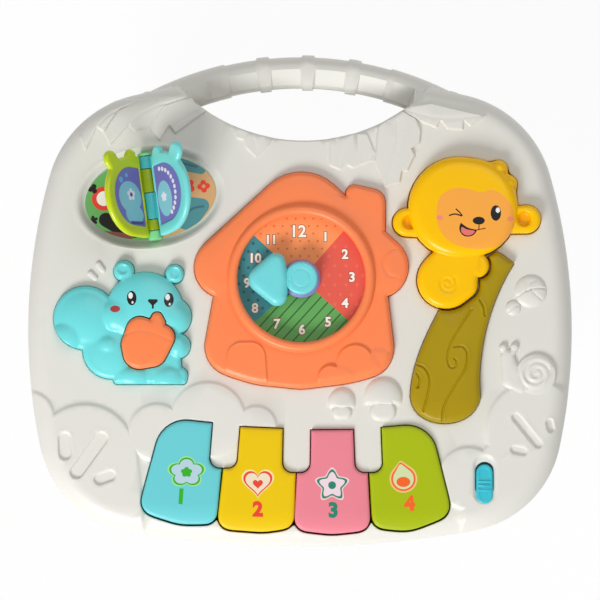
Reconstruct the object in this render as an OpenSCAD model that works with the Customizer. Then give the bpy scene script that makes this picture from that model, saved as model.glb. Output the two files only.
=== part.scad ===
// Musical activity table: a moulded panel with a carrying handle, piano keys, a clock,
// a page-turning book, press buttons and a slide switch, standing on four plug-in legs.
// Millimetres. +X is the player's right, +Y is the handle side, +Z is up.
// The origin is on the floor, under the middle of the panel.

/* [Panel] */
// Width of the panel at its widest point
panel_w = 324; // [316:1:404]
// From the middle of the panel to its front edge
panel_front = 146; // [144.5:0.5:175]
// From the middle of the panel to the back edge of its body
panel_back = 134.4; // [132:0.2:139]
// Height of the top cover above the parting line
cover_h = 26; // [25:0.5:34]
// Depth of the base shell below the parting line
base_h = 22; // [22:0.5:30]
// Wall of the two shells
wall = 2.6; // [2.2:0.1:3.2]
// Radius of the soft shoulder round the top
shoulder_r = 12; // [9:0.5:12.5]
// Radius of the lower edge of the base
belly_r = 9; // [7:0.5:9.5]

/* [Handle] */
// Width of the grip, seen from above
grip_w = 18.3; // [15:0.1:20]
// Height of the grip
grip_h = 24; // [20:0.5:24]
// Radius of the grip's curve, to the middle of the grip
grip_r = 190.1; // [188:0.1:192.5]
// Radius of the body's edge below the hand opening
hand_gap_r = 104; // [100:1:110]

/* [Legs] */
// Free length of a leg between its foot and the base
leg_len = 186; // [140:1:240]
// Radius of the plug that goes into the base
leg_plug_r = 11; // [9:0.1:12]
// Sideways distance of a leg from the middle, at the front
leg_front_x = 125; // [118:1:128]
// Distance of a leg from the middle, towards the front
leg_front_y = 72; // [66:1:74]
// Sideways distance of a leg from the middle, at the back
leg_back_x = 112; // [104:1:114]
// Distance of a leg from the middle, towards the back
leg_back_y = 78; // [70:1:80]
// Thickness of the rubber foot
foot_pad_h = 4; // [3:0.5:8]

/* [Keys] */
// Gap round each key
key_gap = 0.6; // [0.5:0.05:0.9]
// Height of a key above the panel
key_rise = 3.2; // [2:0.1:5]
// Radius of the rod that the keys turn on
rod_r = 1.5; // [1:0.1:2]

/* [Clock] */
// Radius of the round window of the house
window_r = 37.9; // [36:0.1:38.5]
// Outer radius of the raised ring round the window
bezel_r = 43.4; // [42:0.1:45]
// Radius of the clock hand's shaft
hand_shaft_r = 3.1; // [2.5:0.1:3.6]

/* [Book] */
// Half length of the oval dish
dish_a = 43.9; // [43:0.1:46]
// Half width of the oval dish
dish_b = 29.6; // [29:0.1:31]
// Height of the page hinge above the panel
hinge_rise = 5; // [4.6:0.1:8]
// Radius of the page hinge pin
hinge_pin_r = 1.5; // [1:0.1:2]
// Rest angle of each page above the panel
page_angle = 55; // [30:1:70]

/* [Buttons and switch] */
// Gap round the press buttons
button_gap = 0.5; // [0.4:0.05:0.8]
// Travel of the slide switch
switch_travel = 6; // [4:0.1:6.2]

/* [Fits] */
// Running clearance on a radius
run_fit = 0.08; // [0.05:0.01:0.1]
// Clearance of pieces that are pushed together and stay
seat_fit = 0.2; // [0.1:0.05:0.3]

/* [Hidden] */
$fn = 64;
arc_step = 12;
edge_steps = 3;
eps = 0.15;

// Heights
base_z = foot_pad_h + leg_len;
part_z = base_z + base_h;
top_z = part_z + cover_h;
skin_z = top_z - wall;
ledge = 1.2;
board_z = part_z + 4;
board_t = 1.6;
dome_h = 6;
dome_gap = 0.1;
plunger_z = board_z + board_t + dome_h + dome_gap;

// ---------------------------------------------------------------- outlines
function polar(c, r, a) = [c[0] + r * cos(a), c[1] + r * sin(a)];
function heading(p, q) = atan2(q[1] - p[1], q[0] - p[0]);
function spread(p, q) = norm([q[0] - p[0], q[1] - p[1]]);
function turn(a) = a - 360 * floor(a / 360);
function arc(c, r, from, to, n) = [for (i = [0:n]) polar(c, r, from + (to - from) * i / n)];
function moved(discs, by) = [for (d = discs) [d[0] + by[0], d[1] + by[1], d[2]]];
function flipped(c) = [-c[0], c[1]];

// Direction of the outer normal of the line that touches discs p and q, going anticlockwise
function tangent(p, q) = heading(p, q) - acos((p[2] - q[2]) / spread(p, q));

// Outline of a band stretched round discs [x, y, radius], listed anticlockwise
function stretched(discs, grow = 0) = [
  for (i = [0:len(discs) - 1])
    let (before = discs[(i + len(discs) - 1) % len(discs)])
    let (disc = discs[i])
    let (after = discs[(i + 1) % len(discs)])
    let (from = tangent(before, disc))
    let (raw = turn(tangent(disc, after) - from))
    let (sweep = raw > 300 ? 0 : raw)
    let (r = max(eps, disc[2] + grow))
    each (sweep < 2 ? [polar(disc, r, from)] : arc(disc, r, from, from + sweep, ceil(sweep / arc_step)))
];

// Centre of a circle that lies at distance d1 from c1 and d2 from c2
function meet(c1, d1, c2, d2, side) =
  let (gap = spread(c1, c2))
  let (along = (d1 * d1 - d2 * d2 + gap * gap) / (2 * gap))
  let (off = side * sqrt(d1 * d1 - along * along))
  let (u = [c2[0] - c1[0], c2[1] - c1[1]] / gap)
  [c1[0] + u[0] * along - u[1] * off, c1[1] + u[1] * along + u[0] * off];

// Cubic Bezier curve
function bezier(p, n) = [
  for (i = [0:n])
    let (t = i / n)
    let (u = 1 - t)
    u * u * u * p[0] + 3 * u * u * t * p[1] + 3 * u * t * t * p[2] + t * t * t * p[3]
];

module plate(discs, z0, z1, grow = 0) {
  translate([0, 0, z0])
    linear_extrude(z1 - z0)
      polygon(stretched(discs, grow));
}

// A closed solid through loops of points, one above the other, or below it if down = 1
module stack(loops, down = 0) {
  count = len(loops[0]);
  last = (len(loops) - 1) * count;
  sides = [
    for (k = [0:len(loops) - 2])
      for (i = [0:count - 1])
        let (j = (i + 1) % count)
        [k * count + i, (k + 1) * count + i, (k + 1) * count + j, k * count + j]
  ];
  faces = concat(sides, [[for (i = [0:count - 1]) i], [for (i = [0:count - 1]) last + count - 1 - i]]);
  turned = [for (f = faces) [for (i = [len(f) - 1:-1:0]) f[i]]];
  polyhedron([for (loop = loops) each loop], down == 1 ? turned : faces, convexity = 6);
}

// A plate whose upper edge is rounded
module pillow(discs, z0, z1, edge, grow = 0) {
  rings = concat([[0, z0]],
    [for (i = [0:edge_steps]) let (a = 90 * i / edge_steps) [edge * (cos(a) - 1), z1 - edge + edge * sin(a)]]);
  stack([for (ring = rings) [for (p = stretched(discs, grow + ring[0])) [p[0], p[1], ring[1]]]]);
}

// A round cap, r across and h high, on the plane z = 0
module cap(r, h) {
  ball = (r * r + h * h) / (2 * h);
  intersection() {
    translate([0, 0, h - ball])
      rotate([90, 0, 0])
        sphere(ball);
    translate([-ball, -ball, 0])
      cube([2 * ball, 2 * ball, h + 1]);
  }
}

module cap_at(disc, z, h, rim = 0.3) {
  translate([disc[0], disc[1], z])
    cap(disc[2] - rim, h);
}

module post(c, r, z0, z1) {
  translate([c[0], c[1], z0])
    cylinder(r = r, h = z1 - z0);
}

module block(c, size, z0, z1) {
  translate([c[0] - size[0] / 2, c[1] - size[1] / 2, z0])
    cube([size[0], size[1], z1 - z0]);
}

// ---------------------------------------------------------------- panel form
front_r = 577;
side_r = 338;
back_r = 443.3;
front_corner_r = 63.8;
back_corner_r = 67.6;
waist_y = -16.1;
shoulder_steps = 4;
front_c = [0, front_r - panel_front];
back_c = [0, panel_back - back_r];
side_c = [panel_w / 2 - side_r, waist_y];
front_corner_c = meet(front_c, front_r - front_corner_r, side_c, side_r - front_corner_r, 1);
back_corner_c = meet(back_c, back_r - back_corner_r, side_c, side_r - back_corner_r, -1);
front_a = heading(front_c, front_corner_c);
side_low_a = heading(side_c, front_corner_c);
side_high_a = heading(side_c, back_corner_c);
back_a = heading(back_c, back_corner_c);

// The edge of the panel as touching arcs: centre, radius, first and last direction
right_arcs = [
  [front_corner_c, front_corner_r, front_a, side_low_a],
  [side_c, side_r, side_low_a, side_high_a],
  [back_corner_c, back_corner_r, side_high_a, back_a]
];
left_arcs = [for (i = [2:-1:0])
  let (e = right_arcs[i])
  [flipped(e[0]), e[1], 180 - e[3], 180 - e[2]]
];
edge_arcs = concat([[front_c, front_r, -180 - front_a, front_a]], right_arcs,
  [[back_c, back_r, back_a, 180 - back_a]], left_arcs);

// Facets in each arc: as many by its angle or by its length, whichever is more
function facets(e) = ceil(max((e[3] - e[2]) / 6, (e[3] - e[2]) * e[1] / 900));
function panel_outline(inset) = [
  for (e = edge_arcs)
    for (i = [0:facets(e) - 1])
      polar(e[0], e[1] - inset, e[2] + (e[3] - e[2]) * i / facets(e))
];

// The panel as a solid on z = 0, h thick, with a rounded outer edge; down = 1 hangs it below
module panel_slab(inset, h, r, sunk = 0, down = 0) {
  up = 1 - 2 * down;
  rings = concat([[0, -sunk]],
    [for (i = [0:shoulder_steps]) let (a = 90 * i / shoulder_steps) [r * (1 - cos(a)), h - r + r * sin(a)]]);
  stack([for (ring = rings) [for (p = panel_outline(inset + ring[0])) [p[0], p[1], up * ring[1]]]], down);
}

// ---------------------------------------------------------------- handle form
grip_c = [0, -51.85];
hand_gap_c = [2.5, 199.2];
grip_end_a = 32;
ring_rise = 1.2;
ring_a = 2.1;
ring_places = [-9.6, -1.45, 6.5];
pad_rise = 0.8;
pad_spans = [[-grip_end_a, -16.1], [13.2, grip_end_a]];

module grip_profile(half_w, half_h) {
  intersection() {
    union() {
      translate([0, half_h - half_w])
        circle(half_w);
      translate([-half_w, 0])
        square([2 * half_w, half_h - half_w]);
    }
    translate([-half_w, 0])
      square([2 * half_w, half_h]);
  }
}

module grip_sweep(from, to, half_w, half_h, down) {
  translate([grip_c[0], grip_c[1], 0])
    rotate([0, 0, 90 + from])
      rotate_extrude(angle = to - from, $fn = 180)
        translate([grip_r, 0])
          mirror([0, down])
            grip_profile(half_w, half_h);
}

// One half of the handle
module grip_outside(down) {
  grip_sweep(-grip_end_a, grip_end_a, grip_w / 2, grip_h / 2, down);
  for (a = ring_places)
    grip_sweep(a - ring_a / 2, a + ring_a / 2, grip_w / 2 + ring_rise, grip_h / 2 + ring_rise, down);
  for (pad = pad_spans)
    grip_sweep(pad[0], pad[1], grip_w / 2 + pad_rise, grip_h / 2 + pad_rise, down);
}

module grip_inside(down) {
  grip_sweep(-grip_end_a - 1, grip_end_a + 1, grip_w / 2 - wall, grip_h / 2 - wall, down);
}

module hand_gap(h, grow) {
  translate([hand_gap_c[0], hand_gap_c[1], -h])
    cylinder(r = hand_gap_r + grow, h = 3 * h, $fn = 180);
}

module half_outside(h, r, down) {
  difference() {
    panel_slab(0, h, r, 0, down);
    hand_gap(h, 0);
  }
  grip_outside(down);
}

module half_inside(h, r, down) {
  difference() {
    panel_slab(wall, h - wall, r - wall, 1, down);
    hand_gap(h, wall);
  }
  grip_inside(down);
}

// ---------------------------------------------------------------- piece outlines
clock_c = [0.8, 12.6];
roof = moved([[45, 7, 18.5], [0, 35.3, 28], [-45, 7, 18.5]], clock_c);
walls = moved([[-41, -41, 16.3], [0, -33.2, 32], [39, -42.5, 16], [38, 0, 12], [-38, 0, 12]], clock_c);
chimney = moved([[43, 30, 6.8], [41.5, 45, 8.3], [31.5, 50.5, 5.2], [30, 33, 5]], clock_c);
house_parts = [roof, walls, chimney];

tail = [-127.2, -10.7, 18.8];
haunch = [-111.5, -29.6, 17.2];
head = [-91.9, -6.5, 22.8];
cheek_left = [-107.9, -8.3, 11.9];
cheek_right = [-75.9, -10.1, 11.6];
ear_left = [-104.4, 17.2, 6.1];
ear_right = [-74.4, 15.4, 5.5];
paw_right = [-72.3, -27.3, 7.4];
paw_left = [-108.5, -27, 7.6];
belly = [[-100, -40, 9.9], [-80, -40, 9.9], [-82, -20, 10], [-98, -20, 10]];
foot_right = [[-85.5, -47.5, 2.4], [-69.3, -47.5, 2.4], [-71.5, -44.8, 5], [-78.3, -49.8 + 5.2, 5.8],
  [-84, -45.5, 4]];
foot_left = [[-108, -47.3, 2.6], [-90.5, -47.3, 2.6], [-94, -44.2, 5], [-99.3, -45.4, 6.6],
  [-104.5, -45, 5]];
squirrel_discs = [tail, haunch, head, cheek_left, cheek_right, ear_left, ear_right, paw_right, paw_left];
squirrel_bands = [belly, foot_right, foot_left];

acorn = [[-97.5, -26.5, 8.1], [-95, -31.5, 9.6], [-87.5, -31, 8.8], [-82, -22.5, 7.9],
  [-94.5, -18.3, 8.2]];
acorn_stem = [[-86.2, -14, 3.2], [-82.6, -14, 3.2], [-84.4, -10.9, 3.4]];
acorn_c = [-90, -25.5];

monkey_head = [[94.3, 54.6, 30.2], [99.6, 54.6, 29.6]];
monkey_ears = [[63.3, 46, 8.3], [134.4, 47.8, 8.3]];
monkey_tufts = [[118, 77.7, 5.6], [123.6, 68.8, 5.6]];
monkey_body = [[86.6, 11.9, 17.2], [96.7, 8.9, 8.6], [98, 24, 8], [88, 26, 8]];
monkey_arm = [[96, 19, 7.1], [105, 20.2, 7.1], [100, 27, 7.1]];
monkey_ear_bands = [[[63.3, 46, 8.3], [74, 45, 8]], [[123, 47.4, 8], [134.4, 47.8, 8.3]]];
monkey_bands = concat([monkey_head, monkey_body, monkey_arm], monkey_ear_bands);
monkey_c = [95, 40];

trunk_right = [[126.9, 21.6], [109, -6], [104.6, -40], [106.9, -57]];
trunk_foot = [[106.9, -57], [104.5, -78.5], [66.5, -78.5], [65.3, -57]];
trunk_left = [[65.3, -57], [66, -36], [76, -16], [95, 16]];
trunk_top = [[116.5, 28.6], [119.8, 27]];
trunk_outline = concat(trunk_top, bezier(trunk_right, 14), bezier(trunk_foot, 14), bezier(trunk_left, 14));
trunk_insert_gap = 1.2;

// Outline of a ribbon along a line, with a half width at each point
function ribbon_side(line, half, side) = [
  for (i = [0:len(line) - 1])
    let (a = heading(line[max(0, i - 1)], line[min(len(line) - 1, i + 1)]))
    polar(line[i], half[i], a + 90 * side)
];
function ribbon(line, half) = concat(ribbon_side(line, half, -1),
  [for (i = [len(line) - 1:-1:0]) ribbon_side(line, half, 1)[i]]);

prong_rear = [-43.3, -1.7, 39.6];
prong_tip = [[-45.2, -99.4], [-2.1, -102], [40.6, -102]];
prong_half = 7.9;
prong_root_y = -70;
key_rear_y = -78;
key_edge = 1.6;
key_shapes = [
  [[-85.3, -119.3, 8.6], [-67.5, -108, 24.8], [-56, -125.5, 7.2], [-48, -99.6, key_edge],
   [-47.5, -75.2, key_edge], [-67.5, -89.5, 18]],
  [[-41, -128.5, 7.5], [-22.5, -110, 27.3], [-10.8, -128.3, 7.5], [-4.1, -102.6, key_edge],
   [-4.1, -78.3, key_edge], [-43.8, -76.5, key_edge], [-43.8, -99.6, key_edge]],
  [[4.2, -129.5, 7.5], [19, -111, 27.5], [34, -129.5, 7.5], [38.5, -102.6, key_edge],
   [38, -78.7, key_edge], [-0.2, -78.9, key_edge], [-0.2, -102.6, key_edge]],
  [[49.8, -128, 7.5], [61, -110, 26.5], [79.5, -121.5, 9], [63, -92.5, 18],
   [43, -77.8, key_edge], [42.6, -102.6, key_edge]]
];
front_play = 0.5;
key_mid = [-68, -22.5, 19, 64];
key_knuckle_x = [[-72, -60], [-29, -16], [12.5, 25.5], [55, 67]];

function prong(i) = [
  [prong_tip[i][0] - 2.3, prong_tip[i][1] + 5.6, 5.6],
  [prong_tip[i][0] + 2.3, prong_tip[i][1] + 5.6, 5.6],
  [prong_rear[i] + prong_half - 0.5, prong_root_y, 0.5],
  [prong_rear[i] - prong_half + 0.5, prong_root_y, 0.5]
];

module bands_2d(bands, grow = 0) {
  for (band = bands)
    polygon(stretched(band, grow));
}

module discs_2d(discs, grow = 0) {
  for (d = discs)
    translate([d[0], d[1]])
      circle(d[2] + grow);
}

module squirrel_2d(grow = 0) {
  discs_2d(squirrel_discs, grow);
  bands_2d(squirrel_bands, grow);
}

module monkey_2d(grow = 0) {
  bands_2d(monkey_bands, grow);
  discs_2d(monkey_tufts, grow);
}

module acorn_2d(grow = 0) {
  bands_2d([acorn, acorn_stem], grow);
}

module trunk_2d(grow = 0) {
  difference() {
    offset(delta = grow)
      polygon(trunk_outline);
    monkey_2d(trunk_insert_gap - grow);
  }
}

module key_2d(i) {
  difference() {
    polygon(stretched(key_shapes[i]));
    for (j = [max(0, i - 1):min(2, i)])
      polygon(stretched(prong(j), key_gap));
  }
}

// ---------------------------------------------------------------- reliefs on the cover
relief_rise = 1.6;
bush_discs = [[-161.3, -70, 16], [-127.5, -91.9, 30.2], [-84.8, -78.3, 16.9], [-54.6, -71.2, 22.5],
  [-26.1, -75.3, 12.5]];
hill_discs = [[99.6, -105.6, 18.4], [139.4, -77.7, 29.6]];
ground_y = -180;
snail_c = [139.7, -44.1];
snail_r = 12.5;
mushrooms = [[24.7, -60.5, 8.3, 3.4], [49.2, -57.5, 11.6, 4]];
fruits = [[136.7, 5.1, 9.8, 2.6], [126.4, -4.7, 4.7, 1.8]];
pockets = [
  [[-139.4, -82, 3.9], [-138.9, -91.2, 3.9]],
  [[-132, -101.9, 4.2], [-117.7, -82.2, 4.2]],
  [[-118.5, -106.3, 3.6], [-112.3, -104.1, 3.6]],
  [[127.9, -69.6, 2.8], [140.7, -85.4, 2.8]],
  [[127, -88.8, 2.8], [131.8, -89.8, 2.8]],
  [[147.7, -72.6, 2.4], [148.5, -76.4, 2.4]]
];
pocket_depth = 1.4;

// Palm leaves, each from its stalk round to its stalk again, with cuts in its edges
leaves = [
  [[-48, 118], [-74, 99], [-77.7, 103.8], [-83, 94.9], [-88.5, 100.4], [-90, 108], [-80, 116], [-62, 122]],
  [[-62, 122], [-80, 116.5], [-88.9, 103.8], [-98, 100], [-101.5, 104.5], [-112.7, 91.9], [-116.5, 100],
   [-108, 113], [-92, 120]],
  [[-90, 119], [-108, 113.5], [-117, 100.5], [-120.5, 103], [-127.5, 88.9], [-131, 97], [-124, 111],
   [-110, 120]],
  [[-41, 104], [-37.5, 96.5], [-33.6, 95.4], [-32.4, 91], [-26.1, 84.8], [-18.4, 91.9], [-16.6, 97],
   [-22, 104]],
  [[17.2, 99], [17.8, 80.1], [23.7, 77.7], [28.2, 80.6], [31.4, 78.6], [42.7, 83], [44.5, 88], [40, 99]],
  [[46.5, 103], [44.5, 83], [50.4, 67], [59.3, 70], [60.4, 76.4], [64, 77], [68.2, 86], [66.2, 89.8],
   [71.2, 93.7], [71.8, 100.8], [68.8, 107.9], [58, 114]],
  [[58, 114], [71.2, 106.7], [81.2, 102.6], [83.6, 107], [87.8, 102], [96.7, 101.4], [97.3, 107],
   [101.4, 103.4], [110.3, 109.5], [94.9, 112.9], [78, 117]]
];

module leaves_2d() {
  for (leaf = leaves)
    polygon(leaf);
}

module ground_2d() {
  discs_2d(bush_discs);
  discs_2d(hill_discs);
  polygon([[-170, -70], [-144, -80], [-97, -80], [-97, ground_y], [-170, ground_y]]);
  polygon([[99, -100], [116, -80], [170, -62], [170, ground_y], [99, ground_y]]);
}

// What stands up from the panel, cut to the panel's own rounded edge
module raised(rise) {
  difference() {
    intersection() {
      translate([0, 0, part_z])
        panel_slab(0.4, cover_h + rise, shoulder_r);
      translate([0, 0, top_z - 5])
        linear_extrude(10)
          children([0:$children - 1]);
    }
    translate([0, 0, part_z])
      hand_gap(cover_h, 0.3);
  }
}

spiral_turns = 2.1;
function spiral(c, r, half, side) = [
  for (i = [0:24])
    let (a = 360 * spiral_turns * i / 24)
    polar(c, r * (1 - 0.85 * i / 24) + side * half * (1 - 0.5 * i / 24), 30 + a)
];
function spiral_band(c, r, half) =
  concat(spiral(c, r, half, 1), [for (i = [24:-1:0]) spiral(c, r, half, -1)[i]]);

module snail() {
  translate([0, 0, top_z - 1]) {
    linear_extrude(1 + 2.2)
      translate(snail_c)
        circle(snail_r);
    linear_extrude(1 + 1.6)
      polygon(stretched([[122, -52, 4], [140, -55, 2.5], [124, -29, 2], [119.6, -28.6, 2]]));
    linear_extrude(1 + 3.2)
      polygon(spiral_band(snail_c, snail_r - 2.6, 1.1));
  }
  cap_at([119.1, -27.6, 2.8], top_z, 2.2);
  cap_at([126.4, -27.3, 2.8], top_z, 2.2);
}

module mushroom(m) {
  stalk = m[2] * 0.5;
  translate([0, 0, top_z - 1])
    linear_extrude(1 + 1.6)
      polygon(stretched([[m[0] - 2, m[1] - m[2] * 0.75, stalk], [m[0] + 2, m[1] - m[2] * 0.75, stalk]]));
  translate([m[0], m[1], top_z])
    intersection() {
      cap(m[2], m[3]);
      translate([-m[2], -m[2] * 0.35, 0])
        cube([2 * m[2], 2 * m[2], m[3]]);
    }
}

module reliefs() {
  raised(relief_rise) {
    ground_2d();
    leaves_2d();
  }
  snail();
  for (m = mushrooms)
    mushroom(m);
  for (f = fruits)
    cap_at(f, top_z, f[3]);
}

// ---------------------------------------------------------------- posts and seats
case_screw_spots = [[-138, 10], [138, 10], [-131, -95], [131, -95], [-86, 103], [86, 103],
  [-44, -58], [40.3, -58]];
boss_r = 4;
pilot_r = 1.55;
screw_r = 1.5;
head_r = 3;
head_h = 2;
counter_r = 3.6;
leg_spots = [[-leg_front_x, -leg_front_y], [leg_front_x, -leg_front_y],
  [-leg_back_x, leg_back_y], [leg_back_x, leg_back_y]];
socket_wall = 2.6;
socket_r = leg_plug_r + seat_fit;
socket_depth = 24;
rim_drop = 6;
rod_y = -66;
rod_z = top_z - 8;
knuckle_r = 3.5;
rod_ends = [-86, 80];
rod_holder_x = [-80, -44, -1.8, 40.3, 75];

book_c = [-88.9, 61.1];
book_tilt = 7.8;
dish_depth = 3.6;
dish_bevel = 4.6;
card_t = 0.8;
pan_t = 2.2;

module at_book(z) {
  translate([book_c[0], book_c[1], z])
    rotate([0, 0, book_tilt])
      children();
}

module oval(a, h, top_a) {
  scale([1, dish_b / dish_a, 1])
    cylinder(r1 = a, r2 = top_a, h = h, $fn = 96);
}

switch_c = [109.1, -106.1];
knob_r = 4.9;
knob_half = 6.8;
knob_y = -switch_travel / 2;
slot_half = knob_half + switch_travel / 2 + 0.3;
slot_r = 5.4;
bevel_half = 14;
bevel_r = 6.2;
switch_sink = 1.6;
knob_base_z = skin_z - switch_sink - 0.3;
knob_base_t = 1.6;
slider_top = knob_base_z - knob_base_t - 0.4;
slider_h = 7;

function stadium(c, half, r) = [[c[0], c[1] - half + r, r], [c[0], c[1] + half - r, r]];

// ---------------------------------------------------------------- top cover
module key_opening_2d(grow) {
  difference() {
    union() {
      for (i = [0:3])
        for (play = [0, front_play])
          translate([0, -play])
            polygon(stretched(key_shapes[i], key_gap + grow));
      polygon([[-56, -126], [-2.5, -130], [50, -128], [50, -90], [-56, -90]]);
    }
    for (i = [0:2])
      polygon(stretched(prong(i), -grow));
  }
}

module key_well_wall() {
  depth = 9;
  difference() {
    translate([0, 0, skin_z - depth + wall])
      linear_extrude(depth)
        difference() {
          offset(delta = 1.4)
            key_opening_2d(0);
          key_opening_2d(0);
        }
    translate([-100, key_rear_y - 3, skin_z - depth])
      cube([200, 40, depth]);
  }
}

module rod_holder(x) {
  translate([x - 1.5, rod_y - 4, rod_z - 4])
    cube([3, 8, skin_z - rod_z + 4 + eps]);
}

module top_cover() {
  color("#f2f2ee")
    difference() {
      union() {
        difference() {
          union() {
            translate([0, 0, part_z])
              half_outside(cover_h, shoulder_r, 0);
            reliefs();
          }
          translate([0, 0, part_z])
            half_inside(cover_h, shoulder_r, 0);
        }
        at_book(top_z - dish_depth - pan_t)
          oval(dish_a + 2, dish_depth + pan_t - 1, dish_a + 2);
        plate(stadium(switch_c, bevel_half + 2, bevel_r + 2), skin_z - switch_sink, top_z - 1);
        key_well_wall();
        for (x = rod_holder_x)
          rod_holder(x);
        for (c = case_screw_spots)
          post(c, boss_r, part_z - 4, skin_z + eps);
      }
      for (c = case_screw_spots)
        post(c, pilot_r, part_z - 5, part_z + 12);
      inserts_seat();
      at_book(top_z - dish_depth)
        oval(dish_a - dish_bevel, card_t, dish_a - dish_bevel);
      at_book(top_z - dish_depth + card_t)
        oval(dish_a - dish_bevel, dish_depth - card_t, dish_a);
      translate([0, 0, part_z])
        linear_extrude(cover_h + 10)
          key_opening_2d(0);
      switch_cut();
      for (band = pockets)
        plate(band, top_z + relief_rise - pocket_depth, top_z + 6);
      translate([rod_ends[0], rod_y, rod_z])
        rotate([0, 90, 0])
          cylinder(r = rod_r + run_fit, h = rod_ends[1] - rod_ends[0]);
    }
}

module inserts_seat() {
  translate([0, 0, top_z - ledge])
    linear_extrude(ledge + 10)
      union() {
        bands_2d(house_parts, seat_fit);
        squirrel_2d(seat_fit);
        trunk_2d(seat_fit);
      }
  translate([0, 0, part_z + cover_h / 2])
    linear_extrude(cover_h)
      union() {
        bands_2d([roof, walls], -7);
        acorn_2d(button_gap);
        monkey_2d(button_gap);
        offset(delta = -5)
          trunk_2d();
      }
}

module switch_cut() {
  floor_z = top_z - switch_sink;
  plate(stadium(switch_c, bevel_half, bevel_r), floor_z, top_z + 6);
  plate(stadium(switch_c, slot_half, slot_r), part_z + 5, top_z + 6);
}

// ---------------------------------------------------------------- base shell
bay_c = [0, 24];
cell_r = 7.25;
cell_len = 50.5;
cell_pitch = 15;
bay_size = [58, 46];
bay_h = 17.5;
bay_wall = 2;
door_size = [72, 52];
door_screw_x = 32.4;
door_t = 2.4;
door_fit = 0.3;
speaker_c = [66, 4];
speaker_r = 20;
grille_pitch = 5;
grille_r = 1.25;
lip_h = 3;
lip_t = 1.2;

module base_form() {
  difference() {
    union() {
      translate([0, 0, part_z])
        half_outside(base_h, belly_r, 1);
      for (c = leg_spots)
        post(c, socket_r + socket_wall, base_z - rim_drop, base_z + 1);
    }
    translate([0, 0, part_z])
      half_inside(base_h, belly_r, 1);
  }
}

// Low wall that the cover drops over
module base_lip() {
  lip_ring(wall - 0.3, -4, 0);
  lip_ring(wall + seat_fit, -1, lip_h);
}

module lip_ring(inset, z0, z1) {
  translate([0, 0, part_z + z0])
    linear_extrude(z1 - z0)
      difference() {
        polygon(panel_outline(inset));
        polygon(panel_outline(wall + seat_fit + lip_t));
        translate([-100, 88])
          square([200, 60]);
      }
}

module board_posts(spots) {
  for (c = spots)
    post(c, 2.6, base_z + 1, board_z);
}

key_board_c = [-2.5, -104];
key_board_size = [150, 30];
key_board_spots = [[-74, -93], [69, -93], [-74, -115], [69, -115]];
acorn_board_spots = [[-101, -25.5], [-79, -25.5]];
monkey_board_spots = [[84, 40], [106, 40]];
main_board_c = [-66, 40];
main_board_size = [44, 34];
main_board_z = base_z + 8;
main_board_spots = [[-84, 27], [-48, 27], [-84, 53], [-48, 53]];

module grille() {
  for (ring = [0:3])
    for (k = [0:max(0, ring * 6 - 1)])
      post(polar(speaker_c, ring * grille_pitch, k * 60 / max(1, ring)), grille_r, base_z - 1, base_z + wall + 1);
}

module base_shell() {
  color("#ecece8")
    difference() {
      union() {
        base_form();
        base_lip();
        block(bay_c, bay_size + [2 * bay_wall, 2 * bay_wall], base_z + 1, base_z + bay_h + bay_wall);
        block(bay_c, door_size + [4, 4], base_z + 1, base_z + door_t + 2);
        block([bay_c[0] + door_screw_x, bay_c[1]], [8, 12], base_z + 1, base_z + 12);
        block(switch_c, [12, 23], base_z + 1, slider_top - slider_h);
        for (c = leg_spots)
          post(c, socket_r + socket_wall, base_z, base_z + socket_depth + 2);
        for (c = case_screw_spots)
          post(c, boss_r + 1, base_z + 1, part_z - 4 - seat_fit);
        board_posts(concat(key_board_spots, acorn_board_spots, monkey_board_spots));
        for (c = main_board_spots)
          post(c, 2.6, base_z + 1, main_board_z);
        difference() {
          post(speaker_c, speaker_r + 2.4, base_z + 1, base_z + 7);
          post(speaker_c, speaker_r + 0.3, base_z, base_z + 8);
        }
        for (a = [45, 225])
          post(polar(speaker_c, speaker_r + 5, a), 3, base_z + 1, base_z + 12);
      }
      for (c = leg_spots)
        post(c, socket_r, base_z - rim_drop - 1, base_z + socket_depth);
      for (c = case_screw_spots) {
        post(c, counter_r, base_z - 1, part_z - 10);
        post(c, screw_r + 0.3, base_z, part_z);
      }
      block(bay_c, bay_size, base_z - 1, base_z + bay_h);
      block(bay_c, door_size, base_z - 1, base_z + door_t);
      post([bay_c[0] + door_screw_x, bay_c[1]], 1.1, base_z - 1, base_z + 11);
      for (c = concat(key_board_spots, acorn_board_spots, monkey_board_spots))
        post(c, 1, board_z - 6, board_z + 1);
      for (c = main_board_spots)
        post(c, 1, base_z + 3, main_board_z + 1);
      for (a = [45, 225])
        post(polar(speaker_c, speaker_r + 5, a), 1, base_z + 5, base_z + 13);
      grille();
    }
}

// ---------------------------------------------------------------- legs
foot_r = 16.5;
ankle_r = 11.5;
knee_r = 14;
leg_wall = 2.2;

module leg_profile(inset) {
  rim_z = base_z - rim_drop;
  polygon([
    [0, foot_pad_h + (inset > 0 ? -1 : 0)],
    [foot_r - inset, foot_pad_h + (inset > 0 ? -1 : 0)],
    [foot_r - inset, foot_pad_h + 5],
    [ankle_r + 2 - inset, foot_pad_h + 14],
    [ankle_r - inset, foot_pad_h + 30],
    [knee_r - inset, rim_z - 26],
    [knee_r - inset, rim_z - inset],
    [leg_plug_r - inset, rim_z - inset],
    [leg_plug_r - inset, base_z + socket_depth - 1 - inset],
    [0, base_z + socket_depth - 1 - inset]
  ]);
}

module leg(i) {
  color("#f2f2ee")
    translate([leg_spots[i][0], leg_spots[i][1], 0])
      difference() {
        rotate_extrude()
          leg_profile(0);
        rotate_extrude()
          leg_profile(leg_wall);
      }
}

module leg_front_left() { leg(0); }
module leg_front_right() { leg(1); }
module leg_back_left() { leg(2); }
module leg_back_right() { leg(3); }

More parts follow.
